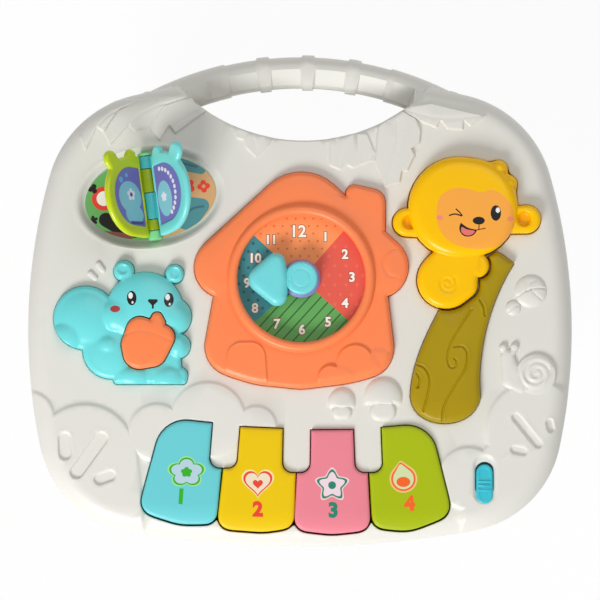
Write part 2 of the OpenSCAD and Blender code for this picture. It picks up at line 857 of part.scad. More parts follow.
module foot_pads() {
  color("#7d8287")
    for (c = leg_spots)
      translate([c[0], c[1], 0]) {
        rotate_extrude()
          union() {
            translate([0, 1.2])
              square([foot_r + 0.6, foot_pad_h - 1.2]);
            square([foot_r - 0.6, foot_pad_h]);
            translate([foot_r - 0.6, 1.2])
              circle(1.2);
          }
        cylinder(r = foot_r - leg_wall - 0.3, h = foot_pad_h + 3);
      }
}

// ---------------------------------------------------------------- house and clock
house_h = 5;
bezel_rise = 4;
dial_z = top_z + 0.6;
dial_t = 1.4;
dial_r = window_r + 2;
hub_r = 9.8;
collar_r = 11.4;
hub_z = dial_z + 5.5;
hub_top = dial_z + 11;
shaft_end = dial_z - 12;

module house_insert() {
  color("#fe8c58")
    difference() {
      union() {
        for (band = [roof, walls])
          pillow(band, top_z - ledge, top_z + house_h, 2.6);
        pillow(chimney, top_z - ledge, top_z + house_h + 0.8, 2.2);
        plate(roof, top_z + house_h - 1, top_z + house_h + 1, -9);
        translate([clock_c[0], clock_c[1], top_z + house_h - 1])
          rotate_extrude($fn = 96)
            bezel_profile();
        door_relief();
        bush_relief();
      }
      post(clock_c, window_r, top_z - 5, top_z + 30);
      post(clock_c, dial_r + seat_fit, top_z - 5, dial_z);
      translate([0, 0, top_z - 5])
        linear_extrude(5 + house_h - 2.4)
          offset(delta = -3)
            house_hollow_2d();
    }
}

module house_hollow_2d() {
  difference() {
    bands_2d([roof, walls]);
    translate(clock_c)
      circle(dial_r + 5);
  }
}

module bezel_profile() {
  w = bezel_r - window_r + 3;
  translate([window_r - 1, 0])
    square([bezel_r - window_r + 1, bezel_rise]);
  translate([(bezel_r + window_r) / 2, bezel_rise])
    intersection() {
      scale([1, 0.6])
        circle(w / 2);
      translate([-(bezel_r - window_r) / 2, 0])
        square([bezel_r - window_r, w]);
    }
}

module door_relief() {
  door = moved([[-44, -60, 3], [-21, -60, 3], [-24, -40, 8.5], [-41, -40, 8.5]], clock_c);
  intersection() {
    plate(door, top_z + house_h - 1, top_z + house_h + 0.9);
    plate(walls, top_z, top_z + house_h + 2, -3);
  }
}

module bush_relief() {
  shrub = moved([[16, -56, 6], [44, -52, 9], [40, -44, 8], [24, -46, 8]], clock_c);
  intersection() {
    plate(shrub, top_z + house_h - 1, top_z + house_h + 0.9);
    plate(walls, top_z, top_z + house_h + 2, -3);
  }
}

module clock_dial() {
  color("#5fa05a")
    difference() {
      union() {
        post(clock_c, dial_r, dial_z - dial_t, dial_z);
        post(clock_c, hand_shaft_r + 3, shaft_end + seat_fit, dial_z + 0.4);
      }
      post(clock_c, hand_shaft_r + run_fit, shaft_end - 1, dial_z + 1);
    }
}

wing = moved([[-24.5, -1.4, 6.4], [-13.8, -11.3, 5.6], [-9.4, -6.5, 2.6], [-9.4, 4.5, 2.6],
  [-14.6, 9.8, 5.8]], clock_c);

module clock_hand() {
  color("#78dce2") {
    pillow(wing, hub_z - 1, hub_top - 0.6, 2.2);
    translate([clock_c[0], clock_c[1], hub_z - 1.5])
      rotate_extrude()
        union() {
          square([hub_r, hub_top - hub_z]);
          square([hub_r - 1.5, hub_top - hub_z + 1.5]);
          translate([hub_r - 1.5, hub_top - hub_z])
            circle(1.5);
        }
    difference() {
      post(clock_c, hand_shaft_r, shaft_end, hub_z);
      post(clock_c, 1, shaft_end - 1, shaft_end + 10);
    }
  }
}

module hand_collar() {
  color("#8c86c8")
    difference() {
      translate([clock_c[0], clock_c[1], dial_z + 0.8])
        cylinder(r1 = collar_r, r2 = hub_r + 0.4, h = hub_z - dial_z - 0.8 - 1.5);
      post(clock_c, hand_shaft_r, dial_z, hub_z);
    }
}

module hand_washer() {
  color("silver")
    difference() {
      post(clock_c, hand_shaft_r + 2.4, shaft_end - 0.8, shaft_end);
      post(clock_c, 1.1, shaft_end - 2, shaft_end + 1);
    }
}

module hand_screw() {
  color("silver") {
    post(clock_c, 2.4, shaft_end - 2.4, shaft_end - 0.8);
    post(clock_c, 1, shaft_end - 0.8, shaft_end + 8);
  }
}

// ---------------------------------------------------------------- book
hinge_z = top_z + hinge_rise;
page_t = 4.2;
page_drop = 0.2;
page_knuckle_r = 4.1;
page_start = 4.9;
page_outline = [[15.5, -8.5, 16], [22.3, 2, 17], [15.5, 9.5, 16]];
page_ears = [[31.5, 22.8, 5.6], [11.5, 24.2, 4.4]];
label_inset = 7.4;
left_knuckles = [[2.4, 16.2], [-20.2, -14]];
right_knuckles = [[16.6, 23.8], [-13.6, 2]];
bracket_low = [-25.9, -20.6];
bracket_high = [24.3, 25.9];
bracket_t = 1.2;

module book_card() {
  color("#9cb48c")
    at_book(top_z - dish_depth)
      oval(dish_a - dish_bevel - seat_fit, card_t, dish_a - dish_bevel - seat_fit);
}

module knuckle(span, r, bore) {
  translate([0, span[0], 0])
    rotate([-90, 0, 0])
      difference() {
        cylinder(r = r, h = span[1] - span[0]);
        translate([0, 0, -1])
          cylinder(r = bore, h = span[1] - span[0] + 2);
      }
}

module hinge_bracket() {
  floor_z = top_z - dish_depth + card_t;
  color("#82dc96")
    at_book(hinge_z)
      difference() {
        union() {
          translate([-3.4, bracket_low[0] + 2, floor_z - hinge_z])
            cube([6.8, bracket_high[1] - bracket_low[0] - 4, bracket_t]);
          for (span = [bracket_low, bracket_high]) {
            translate([-3.4, span[0], floor_z - hinge_z])
              cube([6.8, span[1] - span[0], hinge_z - floor_z]);
            translate([0, span[0], 0])
              rotate([-90, 0, 0])
                cylinder(r = page_knuckle_r, h = span[1] - span[0]);
          }
        }
        translate([0, -40, 0])
          rotate([-90, 0, 0])
            cylinder(r = hinge_pin_r + 0.02, h = 80);
      }
}

module hinge_pin() {
  color("silver")
    at_book(hinge_z)
      translate([0, bracket_low[0] + 0.4, 0])
        rotate([-90, 0, 0])
          cylinder(r = hinge_pin_r, h = bracket_high[1] - bracket_low[0] - 0.8);
}

module page_window_2d(grow) {
  intersection() {
    polygon(stretched(page_outline, grow - label_inset));
    translate([page_start + 2.4 - grow, -40])
      square([60, 80]);
  }
}

module page_leaf(knuckles) {
  difference() {
    union() {
      translate([0, 0, -page_drop - page_t])
        linear_extrude(page_t)
          intersection() {
            union() {
              polygon(stretched(page_outline));
              discs_2d(page_ears);
            }
            translate([page_start, -40])
              square([60, 80]);
          }
      for (span = knuckles) {
        knuckle(span, page_knuckle_r, hinge_pin_r + run_fit);
        translate([0, span[0], -page_drop - page_t + 0.5])
          cube([page_start + 1, span[1] - span[0], page_t - 0.5]);
      }
    }
    translate([0, 0, -2 * page_t])
      linear_extrude(3 * page_t)
        page_window_2d(0);
    for (span = knuckles)
      translate([0, span[0] - 1, 0])
        rotate([-90, 0, 0])
          cylinder(r = hinge_pin_r + run_fit, h = span[1] - span[0] + 2);
  }
}

module page_label() {
  translate([0, 0, -page_drop - page_t + 0.8])
    linear_extrude(page_t - 1.6)
      page_window_2d(0);
}

module raised_left() {
  at_book(hinge_z)
    rotate([0, page_angle, 0])
      mirror([1, 0, 0])
        children();
}

module raised_right() {
  at_book(hinge_z)
    rotate([0, -page_angle, 0])
      children();
}

module page_left() {
  color("#bed22a")
    raised_left()
      page_leaf(left_knuckles);
}

module page_left_label() {
  color("#6464aa")
    raised_left()
      page_label();
}

module page_right() {
  color("#7fd8d4")
    raised_right()
      page_leaf(right_knuckles);
}

module page_right_label() {
  color("#6464aa")
    raised_right()
      page_label();
}

// ---------------------------------------------------------------- figures and buttons
figure_z = top_z + 3;
flange_t = 1.6;
flange_w = 1.6;
flange_z = skin_z - 0.3;

module squirrel_figure() {
  color("#6bc5c5")
    difference() {
      union() {
        translate([0, 0, top_z - ledge])
          linear_extrude(figure_z - top_z + ledge)
            squirrel_2d();
        cap_at(tail, figure_z, 5);
        cap_at(haunch, figure_z, 5);
        cap_at(head, figure_z, 7);
        cap_at(cheek_left, figure_z, 5.5);
        cap_at(cheek_right, figure_z, 5.5);
        cap_at(ear_left, figure_z, 3);
        cap_at(ear_right, figure_z, 3);
        cap_at(paw_right, figure_z, 4.5);
        cap_at(paw_left, figure_z, 5.5);
        for (foot = [foot_left, foot_right])
          pillow(foot, figure_z - 1, figure_z + 3.5, 1.8);
      }
      translate([0, 0, top_z - 5])
        linear_extrude(30)
          acorn_2d(button_gap);
      post(tail, tail[2] - 4, top_z - 5, top_z + 1.4);
      post([head[0], head[1] + 8], head[2] - 11, top_z - 5, top_z + 3);
    }
}

module button_core(c) {
  post(c, 4, plunger_z, flange_z - 1);
}

module acorn_button() {
  acorn_top = top_z + 10.5;
  color("#fd8853") {
    pillow(acorn, flange_z - flange_t, acorn_top, 2.2);
    pillow(acorn_stem, flange_z - flange_t, acorn_top + 0.5, 1.4);
    translate([0, 0, flange_z - flange_t])
      linear_extrude(flange_t)
        acorn_2d(button_gap + flange_w);
    button_core(acorn_c);
  }
}

module monkey_button() {
  color("#f0ba00") {
    difference() {
      union() {
        pillow(monkey_head, flange_z - flange_t, top_z + 11, 4.5);
        pillow(monkey_body, flange_z - flange_t, top_z + 8, 3.5);
        pillow(monkey_arm, flange_z - flange_t, top_z + 7, 2.4);
        for (band = monkey_ear_bands)
          pillow(band, flange_z - flange_t, top_z + 7, 2.4);
        for (d = monkey_tufts) {
          post(d, d[2], flange_z - flange_t, top_z + 6);
          cap_at(d, top_z + 6, 2.5);
        }
        translate([0, 0, flange_z - flange_t])
          linear_extrude(flange_t)
            monkey_2d(button_gap + flange_w);
      }
      for (ear = monkey_ears)
        translate([ear[0] + (ear[0] < monkey_c[0] ? 1.6 : -1.6), ear[1], top_z + 8.6])
          sphere(4.4);
      translate([0, 0, flange_z - flange_t - 1])
        linear_extrude(flange_t + 6)
          offset(delta = -3)
            difference() {
              monkey_2d();
              translate(monkey_c)
                circle(7);
            }
    }
    button_core(monkey_c);
  }
}

module tree_trunk() {
  color("#b09620")
    difference() {
      union() {
        translate([0, 0, top_z - ledge])
          linear_extrude(ledge + 4.6)
            trunk_2d();
        translate([0, 0, top_z])
          linear_extrude(5.6)
            offset(delta = -1.2)
              trunk_2d();
        translate([0, 0, top_z])
          linear_extrude(6.2)
            offset(delta = -3)
              trunk_2d();
      }
      for (g = [0:2])
        trunk_groove(g);
      trunk_knot();
    }
}

grooves = [
  [[100.6, -4.6], [95, -12], [91, -18], [89.6, -28]],
  [[98.6, -28], [99, -42], [87, -52], [86, -69]],
  [[73.4, -38], [80, -42], [78, -54], [75, -62]]
];
groove_w = 0.6;
knot_c = [93.4, -32.5];

module trunk_groove(g) {
  line = bezier(grooves[g], 8);
  translate([0, 0, top_z + 5])
    linear_extrude(5)
      polygon(ribbon(line, [for (p = line) groove_w]));
}

module trunk_knot() {
  translate([0, 0, top_z + 5])
    linear_extrude(5)
      polygon(spiral_band(knot_c, 5, groove_w));
}

// ---------------------------------------------------------------- keys
key_top = top_z + key_rise;
key_skin = 2.4;
key_wall = 1.8;
key_low = rod_z - 3;

module key(i) {
  difference() {
    union() {
      difference() {
        pillow(key_shapes[i], key_low, key_top, key_edge);
        for (j = [max(0, i - 1):min(2, i)])
          plate(prong(j), key_low - 1, key_top + 1, key_gap);
        translate([0, 0, key_low - 1])
          linear_extrude(key_top - key_skin - key_low + 1)
            offset(delta = -key_wall)
              key_2d(i);
      }
      for (x = key_knuckle_x[i])
        key_arm(x);
      key_plunger(i);
    }
    translate([key_mid[i] - 20, rod_y, rod_z])
      rotate([0, 90, 0])
        cylinder(r = rod_r + run_fit, h = 40);
  }
}

module key_arm(x) {
  half = 2;
  translate([x - half, rod_y, rod_z])
    rotate([0, 90, 0])
      cylinder(r = knuckle_r, h = 2 * half);
  translate([x - half, key_rear_y - 2, rod_z - 2.2])
    cube([2 * half, rod_y - key_rear_y + 2, 4.4]);
}

module key_plunger(i) {
  post([key_mid[i], key_board_c[1]], 3.2, plunger_z, key_top - 1);
}

module key_1() { color("#6dccd2") key(0); }
module key_2() { color("#e8c102") key(1); }
module key_3() { color("#e98794") key(2); }
module key_4() { color("#a7b719") key(3); }

module key_rod() {
  color("silver")
    translate([rod_ends[0] + 1, rod_y, rod_z])
      rotate([0, 90, 0])
        cylinder(r = rod_r, h = rod_ends[1] - rod_ends[0] - 2);
}

// ---------------------------------------------------------------- contacts and boards
module contact_dome(c) {
  color("#8a8f94")
    translate([c[0], c[1], board_z + board_t])
      difference() {
        union() {
          cylinder(r = 6, h = 1);
          cylinder(r1 = 4.6, r2 = 3, h = dome_h);
        }
        translate([0, 0, -1])
          cylinder(r1 = 4, r2 = 2, h = dome_h - 0.5);
      }
}

module key_dome_1() { contact_dome([key_mid[0], key_board_c[1]]); }
module key_dome_2() { contact_dome([key_mid[1], key_board_c[1]]); }
module key_dome_3() { contact_dome([key_mid[2], key_board_c[1]]); }
module key_dome_4() { contact_dome([key_mid[3], key_board_c[1]]); }
module acorn_dome() { contact_dome(acorn_c); }
module monkey_dome() { contact_dome(monkey_c); }

module board(c, size, spots, z) {
  color("#2e7d4f")
    difference() {
      block(c, size, z, z + board_t);
      for (s = spots)
        post(s, 1.3, z - 1, z + board_t + 1);
    }
}

module key_board() { board(key_board_c, key_board_size, key_board_spots, board_z); }
module acorn_board() { board(acorn_c, [30, 15], acorn_board_spots, board_z); }
module monkey_board() { board(monkey_c, [30, 15], monkey_board_spots, board_z); }

module main_board() {
  board(main_board_c, main_board_size, main_board_spots, main_board_z);
  color("#2a2c2e") {
    block([-68, 40], [12, 12], main_board_z + board_t, main_board_z + board_t + 1.6);
    block([-56, 48], [7, 5], main_board_z + board_t, main_board_z + board_t + 1.4);
    post([-55, 33], 2.5, main_board_z + board_t, main_board_z + board_t + 7);
  }
}

module small_screw(c, z, length) {
  post(c, 2, z, z + 1.2);
  post(c, 0.95, z - length, z);
}

module board_screws() {
  color("silver") {
    for (c = concat(key_board_spots, acorn_board_spots, monkey_board_spots))
      small_screw(c, board_z + board_t, 6);
    for (c = main_board_spots)
      small_screw(c, main_board_z + board_t, 6);
  }
}

module speaker() {
  color("#3c3f42")
    translate([speaker_c[0], speaker_c[1], base_z + wall]) {
      cylinder(r = speaker_r, h = 2);
      cylinder(r1 = speaker_r - 2, r2 = 11, h = 9);
      cylinder(r = 11, h = 15);
    }
}

module speaker_ring() {
  z = base_z + wall + 2;
  color("#ecece8")
    difference() {
      union() {
        post(speaker_c, speaker_r, z, z + 1.6);
        for (a = [45, 225])
          hull() {
            post(polar(speaker_c, speaker_r + 5, a), 3, base_z + 12, base_z + 13.6);
            post(polar(speaker_c, speaker_r - 2, a), 3, base_z + 12, base_z + 13.6);
          }
        difference() {
          post(speaker_c, speaker_r, z, base_z + 13.6);
          post(speaker_c, speaker_r - 1.6, z - 1, base_z + 20);
        }
      }
      post(speaker_c, speaker_r - 1.6, z - 1, base_z + 20);
      for (a = [45, 225])
        post(polar(speaker_c, speaker_r + 5, a), 1.2, base_z, base_z + 20);
    }
}

module speaker_screws() {
  color("silver")
    for (a = [45, 225])
      small_screw(polar(speaker_c, speaker_r + 5, a), base_z + 13.6, 8);
}

// ---------------------------------------------------------------- switch
module switch_knob() {
  c = [switch_c[0], switch_c[1] + knob_y];
  color("#34aebb") {
    pillow(stadium(c, knob_half, knob_r), knob_base_z - 1, top_z + 1.6, 0.9);
    for (k = [-1:1])
      block([c[0], c[1] + k * 2.6], [7.4, 1], top_z + 1, top_z + 2.2);
    plate(stadium(c, knob_half + 4.6, knob_r + 2), knob_base_z - knob_base_t, knob_base_z);
    block(c, [2.4, 2.4], slider_top - 4, knob_base_z - 1);
  }
}

module slide_switch() {
  color("#4a4d50")
    difference() {
      block(switch_c, [9, 20], slider_top - slider_h, slider_top);
      block(switch_c, [3.2, 14], slider_top - slider_h + 2, slider_top + 1);
    }
}

// ---------------------------------------------------------------- batteries
module battery_cells() {
  for (k = [-1:1])
    translate([bay_c[0] - cell_len / 2, bay_c[1] + k * cell_pitch, base_z + door_t + 0.4 + cell_r]) {
      color("#3a6ea5")
        rotate([0, 90, 0])
          cylinder(r = cell_r, h = cell_len - 1);
      color("silver")
        translate([cell_len - 1, 0, 0])
          rotate([0, 90, 0])
            cylinder(r = 2.7, h = 1);
    }
}

module battery_contacts() {
  z = base_z + door_t + 0.4 + cell_r;
  x0 = bay_c[0] - bay_size[0] / 2;
  x1 = bay_c[0] + bay_size[0] / 2;
  color("silver")
    for (k = [-1:1]) {
      y = bay_c[1] + k * cell_pitch;
      translate([x0, y - 5, z - 5])
        cube([0.5, 10, 10]);
      translate([x0 + 0.5, y, z])
        rotate([0, 90, 0])
          cylinder(r1 = 4, r2 = 2.6, h = bay_c[0] - cell_len / 2 - x0 - 0.5);
      translate([x1 - 0.5, y - 5, z - 5])
        cube([0.5, 10, 10]);
      translate([bay_c[0] + cell_len / 2, y, z])
        rotate([0, 90, 0])
          cylinder(r = 1.6, h = x1 - 0.5 - bay_c[0] - cell_len / 2);
    }
}

module battery_door() {
  screw_c = [bay_c[0] + door_screw_x, bay_c[1]];
  color("#ecece8")
    difference() {
      block(bay_c, door_size - [2 * door_fit, 2 * door_fit], base_z, base_z + door_t);
      post(screw_c, 1.4, base_z - 1, base_z + 4);
      translate([screw_c[0], screw_c[1], base_z - eps])
        cylinder(r1 = 2.4, r2 = 1.4, h = 1.2);
      for (k = [-2:2])
        block([bay_c[0] - door_size[0] / 2 + 12 + k * 3, bay_c[1]], [1.2, 18], base_z - 1, base_z + 0.6);
    }
}

module door_screw() {
  screw_c = [bay_c[0] + door_screw_x, bay_c[1]];
  color("silver") {
    translate([screw_c[0], screw_c[1], base_z])
      cylinder(r1 = 2.3, r2 = 1.1, h = 1.2);
    post(screw_c, 1.05, base_z + 1, base_z + 10);
  }
}

module case_screws() {
  color("silver")
    for (c = case_screw_spots) {
      post(c, head_r, part_z - 10 - head_h, part_z - 10);
      post(c, screw_r, part_z - 10, part_z + 10);
    }
}

top_cover();
base_shell();
leg_front_left();
leg_front_right();
leg_back_left();
leg_back_right();
foot_pads();
house_insert();
clock_dial();
clock_hand();
hand_collar();
hand_washer();
hand_screw();
book_card();
hinge_bracket();
hinge_pin();
page_left();
page_left_label();
page_right();
page_right_label();
squirrel_figure();
acorn_button();
monkey_button();
tree_trunk();
key_1();
key_2();
key_3();
key_4();
key_rod();
key_dome_1();
key_dome_2();
key_dome_3();
key_dome_4();
acorn_dome();
monkey_dome();
key_board();
acorn_board();
monkey_board();
main_board();
board_screws();
speaker();
speaker_ring();
speaker_screws();
switch_knob();
slide_switch();
battery_cells();
battery_contacts();
battery_door();
door_screw();
case_screws();
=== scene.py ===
"""Looks of the musical activity table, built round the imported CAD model.

Lengths are in millimetres here and become metres when a mesh is made. x is to the player's right,
y towards the handle, z up. Directions are in degrees, anticlockwise from +x. An outline is a closed
loop of (x, y) points, and a disc is (x, y, radius). Signed distances are negative inside.
"""

import math

import bpy
import numpy as np
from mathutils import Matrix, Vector, kdtree
from mathutils.geometry import delaunay_2d_cdt


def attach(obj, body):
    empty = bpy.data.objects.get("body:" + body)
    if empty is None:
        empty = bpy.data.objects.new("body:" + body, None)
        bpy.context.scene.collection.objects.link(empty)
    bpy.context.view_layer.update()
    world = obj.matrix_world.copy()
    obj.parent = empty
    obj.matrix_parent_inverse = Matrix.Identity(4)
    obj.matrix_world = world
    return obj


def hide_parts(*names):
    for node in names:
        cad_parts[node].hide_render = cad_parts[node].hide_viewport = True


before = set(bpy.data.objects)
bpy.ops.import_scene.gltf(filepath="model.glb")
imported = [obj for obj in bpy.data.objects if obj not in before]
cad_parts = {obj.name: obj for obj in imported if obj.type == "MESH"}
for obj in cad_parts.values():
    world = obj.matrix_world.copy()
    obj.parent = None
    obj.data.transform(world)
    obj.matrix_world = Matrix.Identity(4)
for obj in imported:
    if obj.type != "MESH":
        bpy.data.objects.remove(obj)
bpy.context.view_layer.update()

MM = 0.001
PHOTO, PIXEL = 600, 0.593  # the photograph: pixels along a side, and what one of them spans
PART_Z = 212.0  # where the halves of the housing meet
TOP_Z = 238.0  # the bare top of the cover
WALL = 2.6
SEAT_Z = TOP_Z - 1.2  # underside of the fixed figures
BUTTON_Z = TOP_Z - 2.9  # underside of the press buttons
NOWHERE = -50.0  # height of a surface beside itself


# ---------------------------------------------------------------- plane figures
def from_pixel(x, y):
    return np.array([(x - PHOTO / 2) * PIXEL, (PHOTO / 2 - y) * PIXEL])


def polar(centre, radius, angle):
    a = np.radians(angle)
    return np.array([centre[0] + radius * np.cos(a), centre[1] + radius * np.sin(a)]).T


def rotation(angle):
    c, s = math.cos(math.radians(angle)), math.sin(math.radians(angle))
    return np.array([[c, -s], [s, c]])


def circle(centre, radius, count=48):
    return polar(centre, radius, np.arange(count) * 360 / count)


def ellipse(centre, half, tilt=0.0, count=40):
    a = np.arange(count) * 2 * np.pi / count
    p = np.column_stack([half[0] * np.cos(a), half[1] * np.sin(a)])
    return p @ rotation(tilt).T + np.array(centre)


def star(centre, radius, points, depth, angle):
    r = np.where(np.arange(2 * points) % 2, radius * depth, radius)
    return polar(centre, r, angle + np.arange(2 * points) * 180 / points)


def soft_star(centre, radius, points, depth):
    a = np.arange(0, 360, 4.0)
    dent = (0.5 - 0.5 * np.cos(np.radians((a - 90) * points))) ** 0.75
    return polar(centre, radius * (1 - depth * dent), a)


def petals(centre, radius, count, depth, angle=90.0, squash=1.0):
    """An outline with rounded lobes."""
    a = np.arange(0, 360, 4.0)
    wave = np.abs(np.cos(np.radians((a - angle) * count / 2))) ** 0.8
    return np.array(centre) + polar((0, 0), radius * (1 - depth + depth * wave), a) * (1, squash)


def heart(centre, size):
    a = np.radians(np.arange(0, 360, 5.0))
    x = 16 * np.sin(a) ** 3
    y = 13 * np.cos(a) - 5 * np.cos(2 * a) - 2 * np.cos(3 * a) - np.cos(4 * a) + 2.5
    return np.array(centre) + np.column_stack([x, y]) * size / 16


def band(discs, step=6.0):
    """Outline of a band stretched round discs, whatever their order."""
    return hull(np.vstack([polar(d, d[2], np.arange(0, 360, step)) for d in discs]))


def hull(points):
    points = points[np.lexsort((points[:, 1], points[:, 0]))]

    def turn(a, b, c):
        return (b[0] - a[0]) * (c[1] - a[1]) - (b[1] - a[1]) * (c[0] - a[0])

    def chain(ordered):
        kept = []
        for p in ordered:
            while len(kept) > 1 and turn(kept[-2], kept[-1], p) <= 1e-9:
                kept.pop()
            kept.append(p)
        return kept[:-1]

    return np.array(chain(points) + chain(points[::-1]))


def capsule(a, b, radius, count=9):
    a, b = np.array(a, float), np.array(b, float)
    way = heading(a, b)
    turn_by = np.linspace(-90, 90, count)
    return np.vstack([polar(b, radius, way + turn_by), polar(a, radius, way + 180 + turn_by)])


def heading(p, q):
    return math.degrees(math.atan2(q[1] - p[1], q[0] - p[0]))


def area(loop):
    x, y = loop.T
    return 0.5 * float(np.dot(x, np.roll(y, -1)) - np.dot(y, np.roll(x, -1)))


def size(loop):
    return abs(area(loop))


def facing(loop, anticlockwise=True):
    return loop if (area(loop) > 0) == anticlockwise else loop[::-1]


def through(points, closed=False, step=1.0):
    """A smooth line through points, as a Catmull-Rom spline."""
    p = np.array(points, float)
    ends = (p[-1:], p[:2]) if closed else (2 * p[:1] - p[1:2], 2 * p[-1:] - p[-2:-1])
    padded = np.vstack([ends[0], p, ends[1]])
    out = []
    for i in range(len(padded) - 3):
        a, b, c, d = padded[i:i + 4]
        count = max(2, int(np.linalg.norm(c - b) / step))
        t = (np.arange(count) / count)[:, None]
        out.append(0.5 * (2 * b + (c - a) * t + (2 * a - 5 * b + 4 * c - d) * t**2
                          + (3 * b - a - 3 * c + d) * t**3))
    if not closed:
        out.append(p[-1:])
    return np.vstack(out)


def ribbon(line, half):
    """Outline of a ribbon along a line, of a half width."""
    line = np.array(line, float)
    run = np.gradient(line, axis=0)
    run /= np.linalg.norm(run, axis=1)[:, None]
    side = np.column_stack([-run[:, 1], run[:, 0]]) * half
    return np.vstack([line - side, (line + side)[::-1]])


def ribbons(lines, halves):
    return [ribbon(line, half) for line in lines for half in halves]


def dense(loop, step=0.8):
    """An outline of straight sides with more points along them."""
    loop = np.array(loop, float)
    out = []
    for a, b in zip(loop, np.roll(loop, -1, 0)):
        count = max(1, int(np.linalg.norm(b - a) / step))
        out.append(a + (b - a) * (np.arange(count) / count)[:, None])
    return np.vstack(out)


def inward(loop):
    """Unit directions to the left of an outline's run, so inwards where it runs anticlockwise."""
    run = np.roll(loop, -1, 0) - np.roll(loop, 1, 0)
    run /= np.linalg.norm(run, axis=1)[:, None] + 1e-12
    return np.column_stack([-run[:, 1], run[:, 0]])


def moved_out(loop, by):
    """An anticlockwise outline moved outwards, without the points that come too near."""
    shifted = loop - by * inward(loop)
    return shifted[np.abs(line_distance(shifted, loop, closed=True) - abs(by)) < 0.12 * abs(by) + 0.01]


def beside(loops, offsets):
    """Lines outside (plus) and inside (minus) outlines, for a mesh to follow."""
    lines = [moved_out(facing(loop), by) for loop in loops for by in offsets]
    return [line for line in lines if len(line) > 3]


def relaxed(loop, share, rounds):
    """An outline with its corners drawn in, as far as each point's share from 0 to 1 says."""
    for _ in range(rounds):
        middle = (np.roll(loop, 1, 0) + np.roll(loop, -1, 0)) / 2
        loop = loop + 0.5 * share[:, None] * (middle - loop)
    return loop


# ---------------------------------------------------------------- distances
def distance(p, centre):
    return np.linalg.norm(p - np.array(centre[:2]), axis=1)


def inside(p, loop):
    odd = np.zeros(len(p), bool)
    for a, b in zip(loop, np.roll(loop, -1, 0)):
        if a[1] == b[1]:
            continue
        crosses = (a[1] > p[:, 1]) != (b[1] > p[:, 1])
        odd ^= crosses & (p[:, 0] < a[0] + (p[:, 1] - a[1]) * (b[0] - a[0]) / (b[1] - a[1]))
    return odd


def line_distance(p, line, closed=False):
    """Distance from each point to a line of points."""
    line = np.array(line, float)
    best = np.full(len(p), 1e9)
    ends = np.roll(line, -1, 0) if closed else line[1:]
    for a, b in zip(line, ends):
        e, w = b - a, p - a
        t = np.clip((w @ e) / max(e @ e, 1e-12), 0, 1)
        best = np.minimum(best, ((w - t[:, None] * e) ** 2).sum(1))
    return np.sqrt(best)


def signed(p, loop, reach=8.0):
    """Distance from an outline, negative inside it; more than reach away it is just reach."""
    low, high = loop.min(0) - reach, loop.max(0) + reach
    near = np.all((p > low) & (p < high), axis=1)
    d = np.full(len(p), float(reach))
    if near.any():
        q = p[near]
        d[near] = line_distance(q, loop, closed=True) * np.where(inside(q, loop), -1, 1)
    return d


def nearest(p, loops, reach):
    """Signed distance from the union of several outlines."""
    return np.min([signed(p, loop, reach) for loop in loops], axis=0)


def exits(centre, loop, way):
    """How far each ray from a centre runs before it leaves an outline."""
    reach = np.zeros(len(way))
    for p, q in zip(loop, np.roll(loop, -1, 0)):
        e, w = q - p, p - np.array(centre)
        cross = way[:, 0] * e[1] - way[:, 1] * e[0]
        cross = np.where(np.abs(cross) < 1e-9, 1e-9, cross)
        r = (w[0] * e[1] - w[1] * e[0]) / cross
        t = (w[0] * way[:, 1] - w[1] * way[:, 0]) / cross
        hit = (r > 0) & (t > -1e-6) & (t < 1 + 1e-6)
        reach = np.where(hit, np.maximum(reach, r), reach)
    return reach


def joined(centre, loops, step, low_x=-1000.0):
    """The joint outline of shapes round a centre, cut straight at low_x."""
    way = polar((0, 0), 1.0, np.arange(0, 360, step))
    reach = np.max([exits(centre, loop, way) for loop in loops], axis=0)
    limit = np.where(way[:, 0] < -1e-6, (low_x - centre[0]) / np.minimum(way[:, 0], -1e-6), 1e9)
    return np.array(centre) + way * np.minimum(reach, limit)[:, None]


# ---------------------------------------------------------------- outlines of the CAD nodes
def welded(node):
    """Corners and triangles of a CAD node, with corners at one place made one."""
    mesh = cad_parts[node].data
    co = np.empty(len(mesh.vertices) * 3)
    mesh.vertices.foreach_get("co", co)
    mesh.calc_loop_triangles()
    tris = np.empty(len(mesh.loop_triangles) * 3, np.int32)
    mesh.loop_triangles.foreach_get("vertices", tris)
    co, index = np.unique(np.round(co.reshape(-1, 3) / MM, 3), axis=0, return_inverse=True)
    return co, index.reshape(-1)[tris].reshape(-1, 3)


def section(node, z):
    """The outlines of a CAD node cut level at height z, material on their left."""
    co, tris = welded(node)
    above = co[:, 2] > z
    onward = {}
    for t in tris[(above[tris].sum(1) % 3) != 0]:
        side = above[t]
        lone = int(np.argmax(side)) if side.sum() == 1 else int(np.argmin(side))
        a, b, c = t[lone], t[(lone + 1) % 3], t[(lone + 2) % 3]
        first, second = (min(a, b), max(a, b)), (min(a, c), max(a, c))
        if side[lone]:
            onward[first] = second
        else:
            onward[second] = first
    loops = []
    while onward:
        start, here = onward.popitem()
        chain = [start]
        while here != start and here in onward:
            chain.append(here)
            here = onward.pop(here)
        i, j = np.array(chain).T
        share = (z - co[i, 2]) / (co[j, 2] - co[i, 2])
        loop = co[i, :2] + share[:, None] * (co[j, :2] - co[i, :2])
        loop = loop[np.linalg.norm(np.roll(loop, -1, 0) - loop, axis=1) > 0.01]
        if len(loop) > 3:
            loops.append(loop)
    return loops


def around(loops, point):
    """The smallest of the outlines that has the point inside it."""
    return min([loop for loop in loops if inside(np.array([point], float), loop)[0]], key=size)


